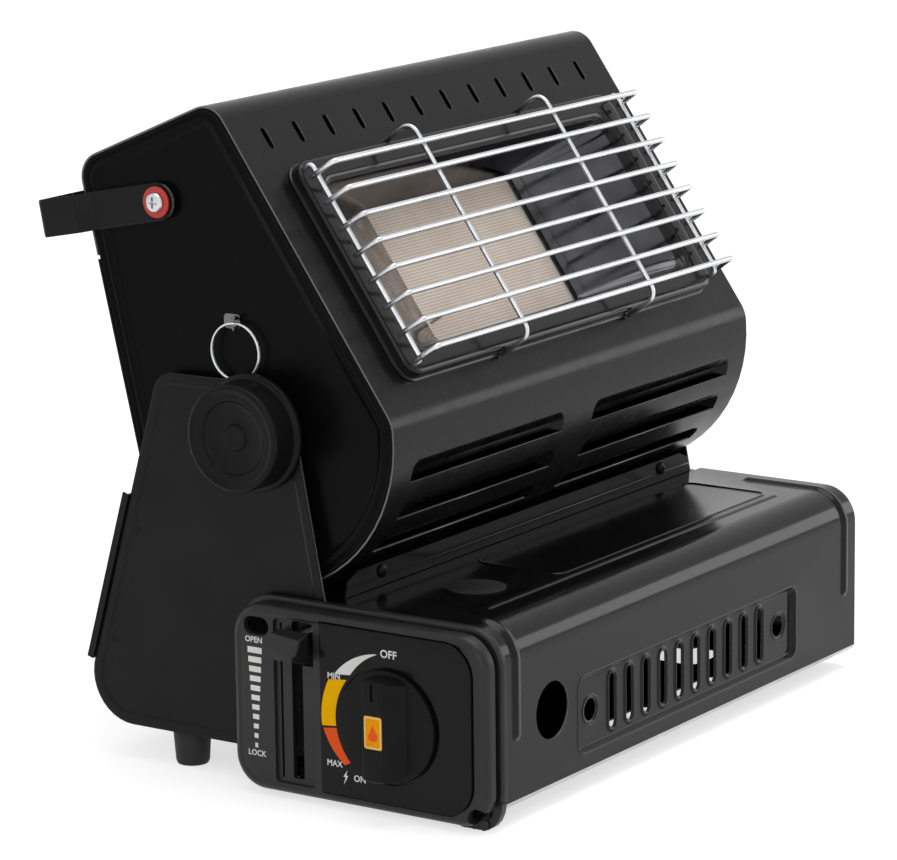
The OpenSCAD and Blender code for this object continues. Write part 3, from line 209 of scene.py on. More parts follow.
def plaque_material():
    """Rows of small holes, every second row shifted by half a pitch, the holes painted darker as the shade inside
    them.
    """
    m = Nodes("ceramic_plaque")
    upright = m.new("ShaderNodeMapping", Rotation=(math.radians(-U_ANG), 0, 0))
    m.link(m.coord.outputs["Object"], upright.inputs["Vector"])
    sep = m.tree.nodes.new("ShaderNodeSeparateXYZ")
    m.link(upright.outputs["Vector"], sep.inputs["Vector"])

    def math_node(op, *values):
        n = m.tree.nodes.new("ShaderNodeMath")
        n.operation = op
        for i, v in enumerate(values):
            if isinstance(v, float):
                n.inputs[i].default_value = v
            else:
                m.link(v, n.inputs[i])
        return n.outputs[0]

    pitch, row_step = 0.0016, 0.866
    v = math_node("DIVIDE", sep.outputs["Y"], pitch * row_step)
    shift = math_node("MULTIPLY", math_node("FLOORED_MODULO", math_node("FLOOR", v), 2.0), 0.5)
    u = math_node("ADD", math_node("DIVIDE", sep.outputs["X"], pitch), shift)
    du = math_node("SUBTRACT", math_node("FRACT", u), 0.5)
    dv = math_node("MULTIPLY", math_node("SUBTRACT", math_node("FRACT", v), 0.5), row_step)
    r = math_node("SQRT", math_node("ADD", math_node("MULTIPLY", du, du), math_node("MULTIPLY", dv, dv)))
    mix = m.tree.nodes.new("ShaderNodeMix")
    mix.data_type = "RGBA"
    m.link(m.map(r, 1.0, 0.0, 0.2, 0.34), mix.inputs["Factor"])
    m.link(m.ramp(m.noise(60, 3), (0.82, 0.70, 0.61), (0.93, 0.84, 0.76)), mix.inputs[6])
    # Colour inside the holes: darker brown, painted shade in them.
    mix.inputs[7].default_value = (0.50, 0.37, 0.28, 1)
    m.link(mix.outputs[2], m.bsdf.inputs["Base Color"])
    m.bsdf.inputs["Roughness"].default_value = 0.85
    m.bump(r, 0.6, 0.0006)
    return m.mat


NODE_MATERIAL["ceramic_plaque"] = plaque_material()

for name, obj in NODES.items():
    mat = NODE_MATERIAL.get(name, ENAMEL)
    for i in range(max(len(obj.material_slots), 1)):
        if obj.material_slots:
            obj.material_slots[i].material = mat
        else:
            obj.data.materials.append(mat)


# ---- shapes in the plane
def ray(a):
    return np.array([math.cos(math.radians(a)), math.sin(math.radians(a))])


def arc(c, r, a0, a1, n):
    return [tuple(np.array(c) + r * ray(a0 + (a1 - a0) * i / n)) for i in range(n + 1)]


def rrect(cx, cy, w, h, r, n=5):
    out = []
    for sx, sy, a in ((1, 1, 0), (-1, 1, 90), (-1, -1, 180), (1, -1, 270)):
        out += arc((cx + sx * (w / 2 - r), cy + sy * (h / 2 - r)), r, a, a + 90, n)
    return out


def capsule(p, q, r, n=8):
    a = math.degrees(math.atan2(q[1] - p[1], q[0] - p[0]))
    return arc(q, r, a - 90, a + 90, n) + arc(p, r, a + 90, a + 270, n)


def sd_rrect(p, cx, cy, w, h, r):
    q = np.abs(p - (cx, cy)) - (w / 2 - r, h / 2 - r)
    return np.minimum(q.max(1), 0) + np.hypot(*np.maximum(q, 0).T) - r


def sd_seg(p, a, b):
    a, ab = np.array(a, float), np.array(b, float) - a
    t = np.clip((p - a) @ ab / (ab @ ab), 0, 1)
    return np.hypot(*(p - a - t[:, None] * ab).T)


def inside(p, loop):
    q = np.array(loop, float)
    x, y = p[:, :1], p[:, 1:]
    x0, y0, x1, y1 = q[:, 0], q[:, 1], np.roll(q[:, 0], -1), np.roll(q[:, 1], -1)
    dy = np.where(y1 == y0, 1e-9, y1 - y0)
    return ((((y0 > y) != (y1 > y)) & (x < (x1 - x0) * (y - y0) / dy + x0)).sum(1) % 2) == 1


def sd_loop(p, loop):
    q = np.array(loop, float)
    d = np.full(len(p), 1e9)
    for a, b in zip(q, np.roll(q, -1, 0)):
        if abs(a - b).max() > 1e-6:
            d = np.minimum(d, sd_seg(p, a, b))
    return np.where(inside(p, loop), -d, d)


def ease(t):
    t = np.clip(t, 0, 1)
    return t * t * (3 - 2 * t)


def ridge(d, half):
    return 0.5 + 0.5 * np.cos(np.pi * np.clip(d / half, -1, 1))


class Wrap:
    """A bent profile: place, and normal to the right of the way along, by the length along it."""

    def __init__(self, *parts):
        self.parts, s = [], 0.0
        for p in parts:
            n = math.dist(p[1], p[2]) if p[0] == "line" else p[2] * math.radians(abs(p[4] - p[3]))
            self.parts.append((s, s + n, p))
            s += n
        self.length = s

    def at(self, s):
        pos, nor = np.zeros((len(s), 2)), np.zeros((len(s), 2))
        for k, (s0, s1, p) in enumerate(self.parts):
            m = np.ones(len(s), bool)
            if k:
                m &= s >= s0
            if k < len(self.parts) - 1:
                m &= s < s1
            t = s[m] - s0
            if p[0] == "line":
                d = (np.array(p[2]) - p[1]) / (s1 - s0)
                pos[m] = np.array(p[1]) + t[:, None] * d
                nor[m] = (d[1], -d[0])
            else:
                way = 1 if p[4] > p[3] else -1
                a = math.radians(p[3]) + way * t / p[2]
                out = np.stack((np.cos(a), np.sin(a)), 1)
                nor[m] = way * out
                pos[m] = np.array(p[1]) + p[2] * out
        return pos, nor

    def place(self, p, h):
        pos, nor = self.at(p[:, 1])
        q = pos + h[:, None] * nor
        return np.column_stack((p[:, 0], q))

    def bends(self, x0, x1, step=6):
        out = []
        for s0, s1, p in self.parts:
            n = 1 if p[0] == "line" else max(2, round(abs(p[4] - p[3]) / step))
            out += [[(x0, s0 + (s1 - s0) * i / n), (x1, s0 + (s1 - s0) * i / n)] for i in range(n + 1)]
        return out[1:-1]


# ---- making pieces
def link(name, me):
    o = bpy.data.objects.new(name, me)
    bpy.context.scene.collection.objects.link(o)
    return o


def settle(o, nodes, body, mats):
    for m in mats:
        o.data.materials.append(m)
    if nodes:
        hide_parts(*nodes)
    if body:
        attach(o, body)
    return o


def pressed(name, nodes, body, outline, place, sign, height, loops=(), lines=(), holes=(), thick=SHEET,
            mats=(ENAMEL, EDGE_PAINTED_HIGHLIGHT)):
    """Sheet metal from a flat blank: cut along the outline and holes, pressed by height, bent by place."""
    pts, edges = [], []

    def add(loop, closed):
        i, n = len(pts), len(loop)
        pts.extend(Vector(q) for q in loop)
        edges.extend((i + k, i + (k + 1) % n) for k in range(n if closed else n - 1))

    for loop in (outline, *holes, *loops):
        add(loop, True)
    for line in lines:
        add(line, False)
    co, _, tris = delaunay_2d_cdt(pts, edges, [], 0, 1e-5)[:3]
    p = np.array([tuple(v) for v in co])
    tris = np.array([t for t in tris if len(t) == 3])
    mid = p[tris].mean(1)
    keep = inside(mid, outline)
    for h in holes:
        keep &= ~inside(mid, h)
    tris = tris[keep]
    used, inv = np.unique(tris, return_inverse=True)
    p, tris = p[used], inv.reshape(tris.shape)

    def f(q):
        return place(q, height(q))

    e = np.array([0.05, 0])
    nor = np.cross(f(p + e) - f(p - e), f(p + e[::-1]) - f(p - e[::-1])) * sign
    nor /= np.linalg.norm(nor, axis=1)[:, None]
    front = f(p)
    if sign < 0:
        tris = tris[:, ::-1]
    n = len(p)
    sides = dict.fromkeys(q for a, b, c in tris.tolist() for q in ((a, b), (b, c), (c, a)))
    rim = [(a, b) for a, b in sides if (b, a) not in sides]
    out = np.zeros((n, 3))
    for a, b in rim:
        d = front[b] - front[a]
        o = np.cross(d / (np.linalg.norm(d) + 1e-12), nor[a] + nor[b])
        out[a] += o
        out[b] += o
    ids = sorted({a for pair in rim for a in pair})
    out = out[ids] / (np.linalg.norm(out[ids], axis=1)[:, None] + 1e-12)
    at = {v: i for i, v in enumerate(ids)}
    m = len(ids)
    back = front - thick * nor
    verts = np.vstack((front, back, front[ids], back[ids]))
    normals = np.vstack((nor, -nor, out + 0.7 * nor[ids], out - 0.7 * nor[ids]))
    normals /= np.linalg.norm(normals, axis=1)[:, None]
    faces = tris.tolist() + (tris[:, ::-1] + n).tolist()
    skins = len(faces)
    faces += [[2 * n + at[b], 2 * n + at[a], 2 * n + m + at[a], 2 * n + m + at[b]] for a, b in rim]
    me = bpy.data.meshes.new(name)
    me.from_pydata([world(v) for v in verts], [], faces)
    for i, q in enumerate(me.polygons):
        q.use_smooth = True
        q.material_index = 0 if i < skins else 1
    me.normals_split_custom_set_from_vertices([tuple(v) for v in normals])
    return settle(link(name, me), nodes, body, mats)


def mesh_of(name, parts, merge):
    """Mesh from (points, faces) parts, a third entry being the place of the part's material."""
    bm = bmesh.new()
    for points, faces, *mat in parts:
        vs = [bm.verts.new(world(p)) for p in points]
        for f in faces:
            bm.faces.new([vs[i] for i in f]).material_index = mat[0] if mat else 0
    if merge:
        bmesh.ops.remove_doubles(bm, verts=bm.verts, dist=1e-6)
    bmesh.ops.recalc_face_normals(bm, faces=bm.faces)
    me = bpy.data.meshes.new(name)
    bm.to_mesh(me)
    bm.free()
    return me


def piece(name, nodes, body, parts, mats, angle=35, cuts=()):
    o = link(name, mesh_of(name, parts, True))
    for part in cuts:
        cut(o, part)
    smooth(o, angle)
    return settle(o, nodes, body, mats)


def cut(o, part):
    c = link("cutter", mesh_of("cutter", [part], False))
    mod = o.modifiers.new("cut", "BOOLEAN")
    mod.object = c
    mod.solver = "EXACT"
    mod.use_self = True
    o.data = bpy.data.meshes.new_from_object(o.evaluated_get(bpy.context.evaluated_depsgraph_get()))
    o.modifiers.clear()
    bpy.data.objects.remove(c)


def loft(rings, start=True, end=True):
    n = len(rings[0])
    pts = [tuple(p) for r in rings for p in r]
    faces = []
    for i in range(0, len(pts) - n, n):
        for k in range(n):
            a, b = i + k, i + (k + 1) % n
            faces.append((a, b, b + n, a + n))
    if start:
        faces.append(tuple(range(n))[::-1])
    if end:
        faces.append(tuple(range(len(pts) - n, len(pts))))
    return pts, faces


def on_axis(axis, t, u, v):
    """Point t along axis 0, 1 or 2 (X, Y or Z), with u and v as its other coordinates."""
    q = [u, v]
    q.insert(axis, t)
    return tuple(q)


def lathe_rings(profile, u, v, n, axis=0):
    """Rings about an axis: profile of (radius, place along the axis)."""
    return [[on_axis(axis, t, u + r * math.cos(a), v + r * math.sin(a))
             for a in (2 * math.pi * k / n for k in range(n))] for r, t in profile]


def lathe(profile, u, v, n, axis=0):
    return loft(lathe_rings(profile, u, v, n, axis))


def prism(loops, ends=True):
    """Solid through (x, loop of (y, z)) pairs."""
    return loft([[(x, y, z) for y, z in loop] for x, loop in loops], ends, ends)


def slab(loop, x0, x1):
    return prism([(x0, loop), (x1, loop)])


def cross_recess(depths, u, v, long, short, axis=0):
    """Cutters of a cross recess: depths of (place along the axis, widening) for two crossed bars."""
    return [loft([[on_axis(axis, t, u + a * w * g, v + b * h * g) for a, b in CORNERS] for t, g in depths])
            for w, h in ((long, short), (short, long))]


def rounded_path(points, radius, n=5):
    p = [np.array(q, float) for q in points]
    out = [p[0]]
    for a, b, c in zip(p, p[1:], p[2:]):
        u, v = (a - b) / np.linalg.norm(a - b), (c - b) / np.linalg.norm(c - b)
        half = math.acos(max(-1, min(1, float(u @ v)))) / 2
        t = min(radius / math.tan(half), 0.49 * np.linalg.norm(a - b), 0.49 * np.linalg.norm(c - b))
        out += [(1 - s) ** 2 * (b + u * t) + 2 * s * (1 - s) * b + s * s * (b + v * t)
                for s in (i / n for i in range(n + 1))]
    return out + [p[-1]]


def sweep(points, r, sides=10, flat=1.0, dome=True):
    """Round bar along the points, with flat its height over its width."""
    p = [np.array(q, float) for q in points]
    n = len(p)
    tan = [p[min(i + 1, n - 1)] - p[max(i - 1, 0)] for i in range(n)]
    tan = [d / np.linalg.norm(d) for d in tan]
    side = np.cross(tan[0], (0.31, 0.17, 0.93))
    rings = []
    for i in range(n):
        side = side - tan[i] * (side @ tan[i])
        side /= np.linalg.norm(side)
        up = np.cross(side, tan[i])
        rings.append([p[i] + r * (math.cos(a) * side + flat * math.sin(a) * up)
                      for a in (2 * math.pi * k / sides for k in range(sides))])
    if dome:
        for at, t in ((0, -1), (-1, 1)):
            caps = [[p[at] + (q - p[at]) * s + t * tan[at] * r * h for q in rings[at]]
                    for s, h in ((0.75, 0.55), (0.3, 0.85))]
            rings = caps[::-1] + rings if at == 0 else rings + caps
    return loft(rings)


def smooth(o, angle=35):
    for p in o.data.polygons:
        p.use_smooth = True
    with bpy.context.temp_override(object=o, active_object=o, selected_objects=[o],
                                   selected_editable_objects=[o]):
        bpy.ops.object.shade_smooth_by_angle(angle=math.radians(angle))


def soften(node, width):
    """The CAD solid again, with its edges rounded as bent sheet and moulded plastic have them."""
    bm = bmesh.new()
    bm.from_mesh(NODES[node].data)
    bmesh.ops.remove_doubles(bm, verts=bm.verts, dist=2e-6)
    bmesh.ops.dissolve_limit(bm, angle_limit=math.radians(0.6), verts=bm.verts, edges=bm.edges)
    me = bpy.data.meshes.new(node + "_soft")
    bm.to_mesh(me)
    bm.free()
    o = link(node + "_soft", me)
    mod = o.modifiers.new("edge", "BEVEL")
    mod.width = width / 1000
    mod.segments = 2
    mod.limit_method = "ANGLE"
    mod.angle_limit = math.radians(32)
    smooth(o)
    return settle(o, [node], body_of_node(node), [NODE_MATERIAL.get(node, ENAMEL)])


# ---- the head's own frame
FACE_U, FACE_N = ray(U_ANG), ray(N_ANG)


def face(x, u, n):
    q = np.array(PIVOT) + u * FACE_U + n * FACE_N
    return (x, q[0], q[1])


def meet(a1, d1, a2, d2):
    a1, a2 = math.radians(a1), math.radians(a2)
    s = math.sin(a2 - a1)
    return np.array([(d1 * math.sin(a2) - d2 * math.sin(a1)) / s, (d2 * math.cos(a1) - d1 * math.cos(a2)) / s])


CHIN_U = -math.sqrt((DRUM_R - CHIN_R) ** 2 - (FACE - CHIN_R) ** 2)
CHIN_C = (FACE - CHIN_R) * FACE_N + CHIN_U * FACE_U
CHIN_ANG = math.degrees(math.atan2(CHIN_C[1], CHIN_C[0]))
APEX_C = meet(N_ANG, FACE - HEAD_R, T_ANG, TOP - HEAD_R)
REAR_C = meet(M_ANG, DRUM_R - HEAD_R, T_ANG, TOP - HEAD_R)
PIV = np.array(PIVOT)


REAR, APEX, CHIN = PIV + REAR_C, PIV + APEX_C, PIV + CHIN_C


def head_outline(i):
    """The head's outline from the side, drawn in by i."""
    return (arc(PIV, DRUM_R - i, CHIN_ANG, 360 + M_ANG, 40)[:-1] + arc(REAR, HEAD_R - i, M_ANG, T_ANG, 8)
            + arc(APEX, HEAD_R - i, T_ANG, N_ANG, 8) + arc(CHIN, CHIN_R - i, N_ANG, CHIN_ANG, 8)[:-1])


SEAM_LOW, SEAM_TOP = 310, 38  # where the shell ends on the drum and on the back
back_start = PIV + DRUM_R * ray(M_ANG) + DRUM_R * math.tan(math.radians(SEAM_TOP - M_ANG)) * ray(90 + M_ANG)
HEAD_WRAP = Wrap(
    ("line", back_start, REAR + HEAD_R * ray(M_ANG)),
    ("arc", REAR, HEAD_R, M_ANG, T_ANG),
    ("line", REAR + HEAD_R * ray(T_ANG), APEX + HEAD_R * ray(T_ANG)),
    ("arc", APEX, HEAD_R, T_ANG, N_ANG),
    ("line", APEX + HEAD_R * ray(N_ANG), CHIN + CHIN_R * ray(N_ANG)),
    ("arc", CHIN, CHIN_R, N_ANG, CHIN_ANG),
    ("arc", PIV, DRUM_R, CHIN_ANG, SEAM_LOW))
S_FACE = HEAD_WRAP.parts[4][1] + CHIN_U  # the face's point at height u lies at S_FACE - u
S_DRUM = HEAD_WRAP.parts[6][0]


def drum_s(angle):
    return S_DRUM + DRUM_R * math.radians(angle - CHIN_ANG)


def head_shell():
    """Slots along the top, the window, and three rows of louvres pressed in and open at the lower edge."""
    half, end = 136.7, HEAD_WRAP.length
    outline = [(-half, 0.3), (half, 0.3), (half, end), (-half, end)]
    holes = [rrect(0, S_FACE - WINDOW_U, 224, 88, 6)]
    for i in range(12):
        x = (i - 5.5) * 21.1
        holes.append(capsule((x, S_FACE - 95.6), (x, S_FACE - 102.0), 1.8))
    lines = HEAD_WRAP.bends(-138, 138)
    pockets = []
    for a in (191.2, 206.5, 223.5):
        top, low = drum_s(a - 4.2), drum_s(a + 4.2)
        for x0, x1 in ((-123, -11), (11, 123)):
            pockets.append((x0, x1, top, low))
            for d in (0, 0.5, 1.2, 3.0, 5.5, 6.5):
                r = max(6 - d, 0.05)
                lines.append([(x0 + d, low)] + arc((x0 + d + r, top + d + r), r, 180, 270, 6)
                             + arc((x1 - d - r, top + d + r), r, 270, 360, 6) + [(x1 - d, low)])
            holes.append([(x0 + 0.5, low - 0.12), (x1 - 0.5, low - 0.12), (x1 - 0.5, low + 0.12),
                          (x0 + 0.5, low + 0.12)])

    def height(p):
        h = np.zeros(len(p))
        for x0, x1, top, low in pockets:
            d = -sd_rrect(p, (x0 + x1) / 2, top + 50, x1 - x0, 100, 6)
            t = np.clip(d / 6.5, 0, 1)
            t = np.where(t < 0.1, t * t * 5, t - 0.05) / 0.95
            h -= np.where(p[:, 1] < low, 4.3 * t, 0)
        return h

    pressed("head_shell_skin", ["head_shell"], "head", outline, HEAD_WRAP.place, -1, height,
            lines=lines, holes=holes)


def head_side(s, node):
    """Side plate: a rolled rim, a groove, a rounded bead, then the pressed panel."""
    steps = [(0.9, 128.5), (0.9, 136.2), (1.1, 136.7), (1.6, 136.95), (2.4, 136.95), (2.7, 136.7), (2.9, 136.3),
             (3.2, 136.1), (3.6, 136.15), (4.0, 136.5), (4.7, 136.9), (5.6, 137.0), (6.6, 136.8), (7.4, 136.3),
             (8.0, 135.8), (8.6, 135.55), (9.4, 135.5)]
    back_steps = [(9.4, 134.7), (8.2, 134.8), (7.0, 135.6), (6.0, 136.1), (4.5, 135.9), (3.2, 135.3),
                  (1.7, 135.8), (1.7, 128.5)]
    rings, back = ([[(s * x, y, z) for y, z in head_outline(i)] for i, x in part] for part in (steps, back_steps))
    piece(node + "_skin", [node], "head", [loft(rings, False, True), loft(back, True, False),
          loft([back[-1], rings[0]], False, False)], [ENAMEL_PAINTED_SHADE_SIDE], 50)


def reflector():
    """Flange with a rolled rim, then the funnel down to the plaque."""
    steps = [(118.0, 50.0, 57.9, 9), (118.0, 50.0, 58.5, 9), (117.3, 49.3, 58.8, 8.5), (117.0, 49.0, 59.4, 8),
             (117.0, 49.0, 62.4, 8), (116.8, 48.8, 63.2, 8), (116.2, 48.2, 63.7, 8), (115.2, 47.15, 63.8, 8),
             (109.5, 41.55, 63.8, 8), (107.6, 39.95, 63.6, 8), (106.3, 38.75, 62.9, 8.5), (105.2, 37.95, 61.6, 9),
             (103.8, 37.35, 60.2, 9), (57.5, 32.2, 40.5, 3.5), (56.0, 31.6, 38.9, 3), (55.0, 31.2, 37.9, 2.5)]
    back_steps = [(55.8, 32.0, 37.9, 3), (104.6, 38.15, 59.2, 9), (106.8, 39.65, 62.2, 8.5),
                  (115.0, 47.05, 63.0, 8), (116.2, 48.15, 62.2, 8), (116.2, 48.15, 57.9, 8)]
    rings, back = ([[face(x, WINDOW_U + u, n) for x, u in rrect(0, 0, 2 * w, 2 * h, r, 8)] for w, h, n, r in part]
                   for part in (steps, back_steps))
    parts = [loft(rings[:13], False, False) + (0,), loft(rings[12:], False, False) + (1,),
             loft([rings[-1]] + back + [rings[0]], False, False) + (0,)]
    piece("reflector_skin", ["reflector"], "head", parts, [FLANGE, DISH], 40)


def guard():
    """Eight bars across the window, then the two upright wires at its ends and the two hoops over it."""
    parts = []
    for i in range(8):
        u = 33 + (3.5 - i) * 12.1
        path = [face(x, u, FACE + n) for x, n in ((-115.2, 9.0), (-114, 21), (114, 21), (115.2, 9.0))]
        parts.append(sweep(rounded_path(path, 2.2, 5), 1.2, 10))
    for s in (-1, 1):
        for x, half, low, high, bend, n, r in ((114, 45.2, 6.2, 11, 3, 5, 1.1), (49, 50.4, 1.6, 18.8, 6, 7, 1.05)):
            path = [face(s * x, WINDOW_U + u, FACE + out)
                    for u, out in ((-half, low), (-half, high), (half, high), (half, low))]
            parts.append(sweep(rounded_path(path, bend, n), r, 10))
    piece("guard_wires", ["guard_grille"], "head", parts, [CHROME], 60)


# ---- cover of the base
COVER = Wrap(("line", (79.0, 80.5), (15.0, 80.5)), ("arc", (15.0, 65.5), 15.0, 90, 180),
             ("line", (0.0, 65.5), (0.0, 9.6)), ("arc", (2.2, 9.6), 2.2, 180, 262))


def cover_s(y=None, z=None):
    return 79 - y if z is None else COVER.parts[2][0] + 65.5 - z


def cover():
    outline = [(-141.6, 0), (141.6, 0), (141.6, COVER.length), (-141.6, COVER.length)]
    pan = (1, cover_s(z=32.2), 176, 32)
    slots = [(1 + (i - 4.5) * 13.2, cover_s(z=32.4)) for i in range(10)]
    small = [(-74.7, cover_s(z=32.4)), (76.7, cover_s(z=32.4))]
    big = (-105.6, cover_s(z=40))
    long_bead = ((-115.5, cover_s(y=23)), (109.5, cover_s(y=23)))
    ends = [((x, cover_s(y=48.5)), (x, cover_s(z=36.5))) for x in (-131.6, 131.6)]
    border = (28, cover_s(y=48.5), 170, 43)
    disc = (-91, cover_s(y=45.5))
    holes = [capsule((x, s - 9.2), (x, s + 9.2), 2.0, 8) for x, s in slots]
    holes += [arc(c, 4.6, 0, 345, 23) for c in small] + [arc(big, 11.8, 0, 350, 35)]
    loops = []
    for x, s in slots:
        loops += [capsule((x, s - 9.2), (x, s + 9.2), 2.0 + d, 8) for d in (0.4, 0.9, 1.4, 1.9, 2.6)]
    for c in small:
        loops += [arc(c, 4.6 + d, 0, 345, 23) for d in (0.5, 1.0, 1.6, 2.4)]

    def inset(box, d, r):
        return rrect(*box[:2], box[2] - 2 * d, box[3] - 2 * d, r, 6)

    loops += [inset(pan, d, 5 - d) for d in (-0.8, -0.4, 0, 0.4, 0.8, 1.2, 1.7, 2.2, 2.8)]
    loops += [inset(border, d, 6 - d) for d in (-0.1, 0.3, 0.7, 1.1, 1.5)]
    loops += [arc(disc, 13.7 - d, 0, 350, 35) for d in (0, 0.5, 1.0, 1.5, 2.0)]
    loops += [capsule(*long_bead, d, 6) for d in (0.05, 0.6, 1.1, 1.6, 2.2)]
    for a, b in ends:
        loops += [capsule(a, b, d, 6) for d in (0.05, 0.6, 1.2, 1.8, 2.4, 3.0, 3.5)]

    def height(p):
        d = -sd_rrect(p, *pan, 5)
        h = -2.0 * ease(d / 2.2) + 0.25 * ridge(d, 0.8)
        for x, s in slots:
            d = sd_seg(p, (x, s - 9.2), (x, s + 9.2)) - 2.0
            h += np.where(d < 2.6, 0.8 * ridge(d - 1.1, 1.5), 0)
        for c in small:
            d = np.hypot(*(p - c).T) - 4.6
            h += np.where(d < 2.4, 0.45 * ridge(d - 1.1, 1.3), 0)
        h += 0.6 * ridge(sd_rrect(p, *border, 6) + 0.7, 0.8)
        h += 0.4 * ease((13.7 - np.hypot(*(p - disc).T)) / 2.0)
        h += 0.7 * ridge(sd_seg(p, *long_bead), 2.2)
        for a, b in ends:
            h += 1.3 * ridge(sd_seg(p, a, b), 3.5)
        return h

    lines = COVER.bends(-142.5, 142.5, 7)
    lines.append([(-142.5, cover_s(z=9.8)), (142.5, cover_s(z=9.8))])
    o = pressed("cover_skin", ["cartridge_cover"], "cover", outline, COVER.place, -1, height, loops, lines, holes,
                mats=(ENAMEL_BASE, EDGE_PAINTED_HIGHLIGHT, HEM))
    for f in o.data.polygons:
        if f.center.z < 0.0097 and f.center.y < world((0, 3, 0)).y:
            f.material_index = 2
    disc_top = lathe([(12.2, 80.6), (12.2, 81.0), (11.9, 81.1)], -91, 45.5, 48, 2)
    piece("cover_disc", [], "cover", [disc_top], [ENAMEL_PAINTED_LIGHT_DISC], 40)
    knuckle = ((1.3, 133.0), (2.35, 133.2), (2.35, 138.7), (1.3, 138.9))
    piece("cover_knuckles", [], "cover", [lathe([(r, s * x) for r, x in knuckle], 3, 9.4, 24) for s in (-1, 1)],
          [ENAMEL_BASE])


def rail_line():
    """Fold along the rear rail."""
    fold = [(-132.0, 79.75, 84.6), (131.5, 79.75, 84.6)]
    piece("rail_fold", [], "base", [sweep(fold, 0.4, 8)], [ENAMEL_BASE], 60)


# ---- stand and rear deck
def hull(circles, inset=0.0):
    """Outline round (centre, radius) circles, drawn in by inset."""
    pts = [p for c, r in circles for p in arc(c, r - inset, 0, 350, 35)]
    return [pts[i] for i in convex_hull_2d([Vector(p) for p in pts])]


LEG = [(PIVOT, 20), ((158, 155.5), 10), ((183, 35), 20), ((90, 22), 7), ((90, 73.5), 7)]


def leg(s, node):
    outline = hull(LEG)
    rings = [hull(LEG, d) for d in (0.6, 1.2, 3.6, 4.2, 4.8, 5.4)]

    def height(p):
        d = -sd_loop(p, outline)
        return -0.25 * (1 - ease(d / 1.2)) - 0.45 * ease((d - 3.6) / 1.8)

    def place(p, h):
        return np.column_stack((s * (141.2 + h), p[:, 0], p[:, 1]))

    holes = [arc(PIVOT, 3.1, 0, 345, 23)]
    if s < 0:
        holes.append(rrect(91.75, 42.5, 14.5, 59, 1))
    pressed(node + "_skin", [node], "base", outline, place, s, height, rings, holes=holes, thick=0.7,
            mats=(ENAMEL_LEG, EDGE_PAINTED_HIGHLIGHT))


# ---- controls
HOUSING_C = (60.25, 40.8)


def plate_ring(g):
    """Square corners beside the lever, round ones at the front."""
    y0, y1, z0, z1 = 5.8 - g, 77.7 + g, 6.5 - g, 76.0 + g
    r = 13 + g
    return (arc((y1 - 1.0, z1 - 1.0), 1.0, 0, 90, 10) + arc((y0 + r, z1 - r), r, 90, 180, 10)
            + arc((y0 + r, z0 + r), r, 180, 270, 10) + arc((y1 - 1.0, z0 + 1.0), 1.0, 270, 360, 10))


def housing():
    steps = [(142.3, 1.8), (144.6, 1.8), (145.1, 1.6), (145.4, 1.1), (145.5, 0.5), (145.5, -2.0), (147.3, -2.0),
             (147.4, -0.4), (147.8, 0.0), (150.6, 0.0), (151.9, -0.35), (152.9, -1.0), (153.6, -1.9), (153.9, -2.8),
             (153.95, -3.3), (153.6, -4.0), (153.5, -4.7), (153.7, -5.4), (153.75, -5.9)]
    body = prism((-x, rrect(*HOUSING_C, 122.5 + 2 * g, 77 + 2 * g, 14 + g, 10)) for x, g in steps)
    foot = slab([(19.0, 3.0), (18.6, 1.2), (17.4, 0.2), (16.0, 0.0), (7.0, 0.0), (4.2, 0.6), (1.6, 2.2),
                 (-0.6, 4.8), (-2.0, 8.0), (-2.6, 12.0), (6.0, 16.0), (19.0, 10.0)], -142.8, -145.9)
    lobes = [lathe([(2.5, -143.0), (2.5, -146.6), (2.1, -147.0)], y, 2.6, 20) for y in (6, 10.5, 15)]
    cavity = slab(rrect(*HOUSING_C, 118.5, 73, 12, 6), -150.2, -141.0)
    trough = prism((x, rrect(91.0, 40.8, 19.6 + g, 68 + g, 2.0, 4))
                   for x, g in ((-152.4, -0.9), (-153.5, -0.2), (-156.0, 0.5)))
    slot = slab(rrect(90.15, 40.0, 5.3, 61.4, 0.8, 3), -160, -140)
    yoke_room = slab(rrect(95.2, 42, 4.0, 60, 0.3, 2), -151.95, -149.9)
    mouth = slab(rrect(87.0, 65.5, 11.0, 18.0, 1.5, 3), -160, -140)
    groove = slab(rrect(97.8, 40.8, 1.1, 64, 0.4, 2), -150.9, -156)
    recess = prism((x, rrect(109.2, 70.2, 12.3 + g, 7.4 + g, 3.6 + g / 2, 5))
                   for x, g in ((-151.4, -1.0), (-153.2, -0.2), (-156.0, 1.4)))
    seat = slab(plate_ring(0.55), -152.7, -156)
    corner = lathe([(4.4, -146.2), (4.4, -160)], 4.2, 6.6, 24)
    bore = lathe([(4.0, -160), (4.0, -140)], *KNOB, 32)
    piece("housing_skin", ["control_housing"], "base", [body], [PLASTIC], 38,
          [cavity, slot, yoke_room, mouth, trough, groove, recess, seat, corner, bore])
    # Dark plate behind the lower end of the slot, put there as painted shade in place of the floor seen through it.
    slot_shade_plate = slab([(84, 3), (97, 3), (97, 11), (84, 11)], -142.8, -143.6)
    piece("housing_foot", [], "base", [foot, *lobes, slot_shade_plate], [PLASTIC], 30)
    # Flat matt black sheet laid in the oval recess: painted shade that darkens it.
    piece("housing_recess_painted_shade", [], "base", [flat(rrect(109.2, 70.2, 11.5, 6.6, 3.2, 5), -151.45)], [PAINTED_SHADE_MATT])
    screw = lathe([(2.9, -146.0), (2.9, -147.2), (2.3, -147.9), (1.2, -148.2), (0.2, -148.2)], *CORNER_SCREW, 24)
    piece("housing_corner_screw", [], "base", [screw], [SCREW_BLACK], 30,
          cross_recess([(-147.4, 0.6), (-148.6, 1.1)], *CORNER_SCREW, 1.7, 0.4))


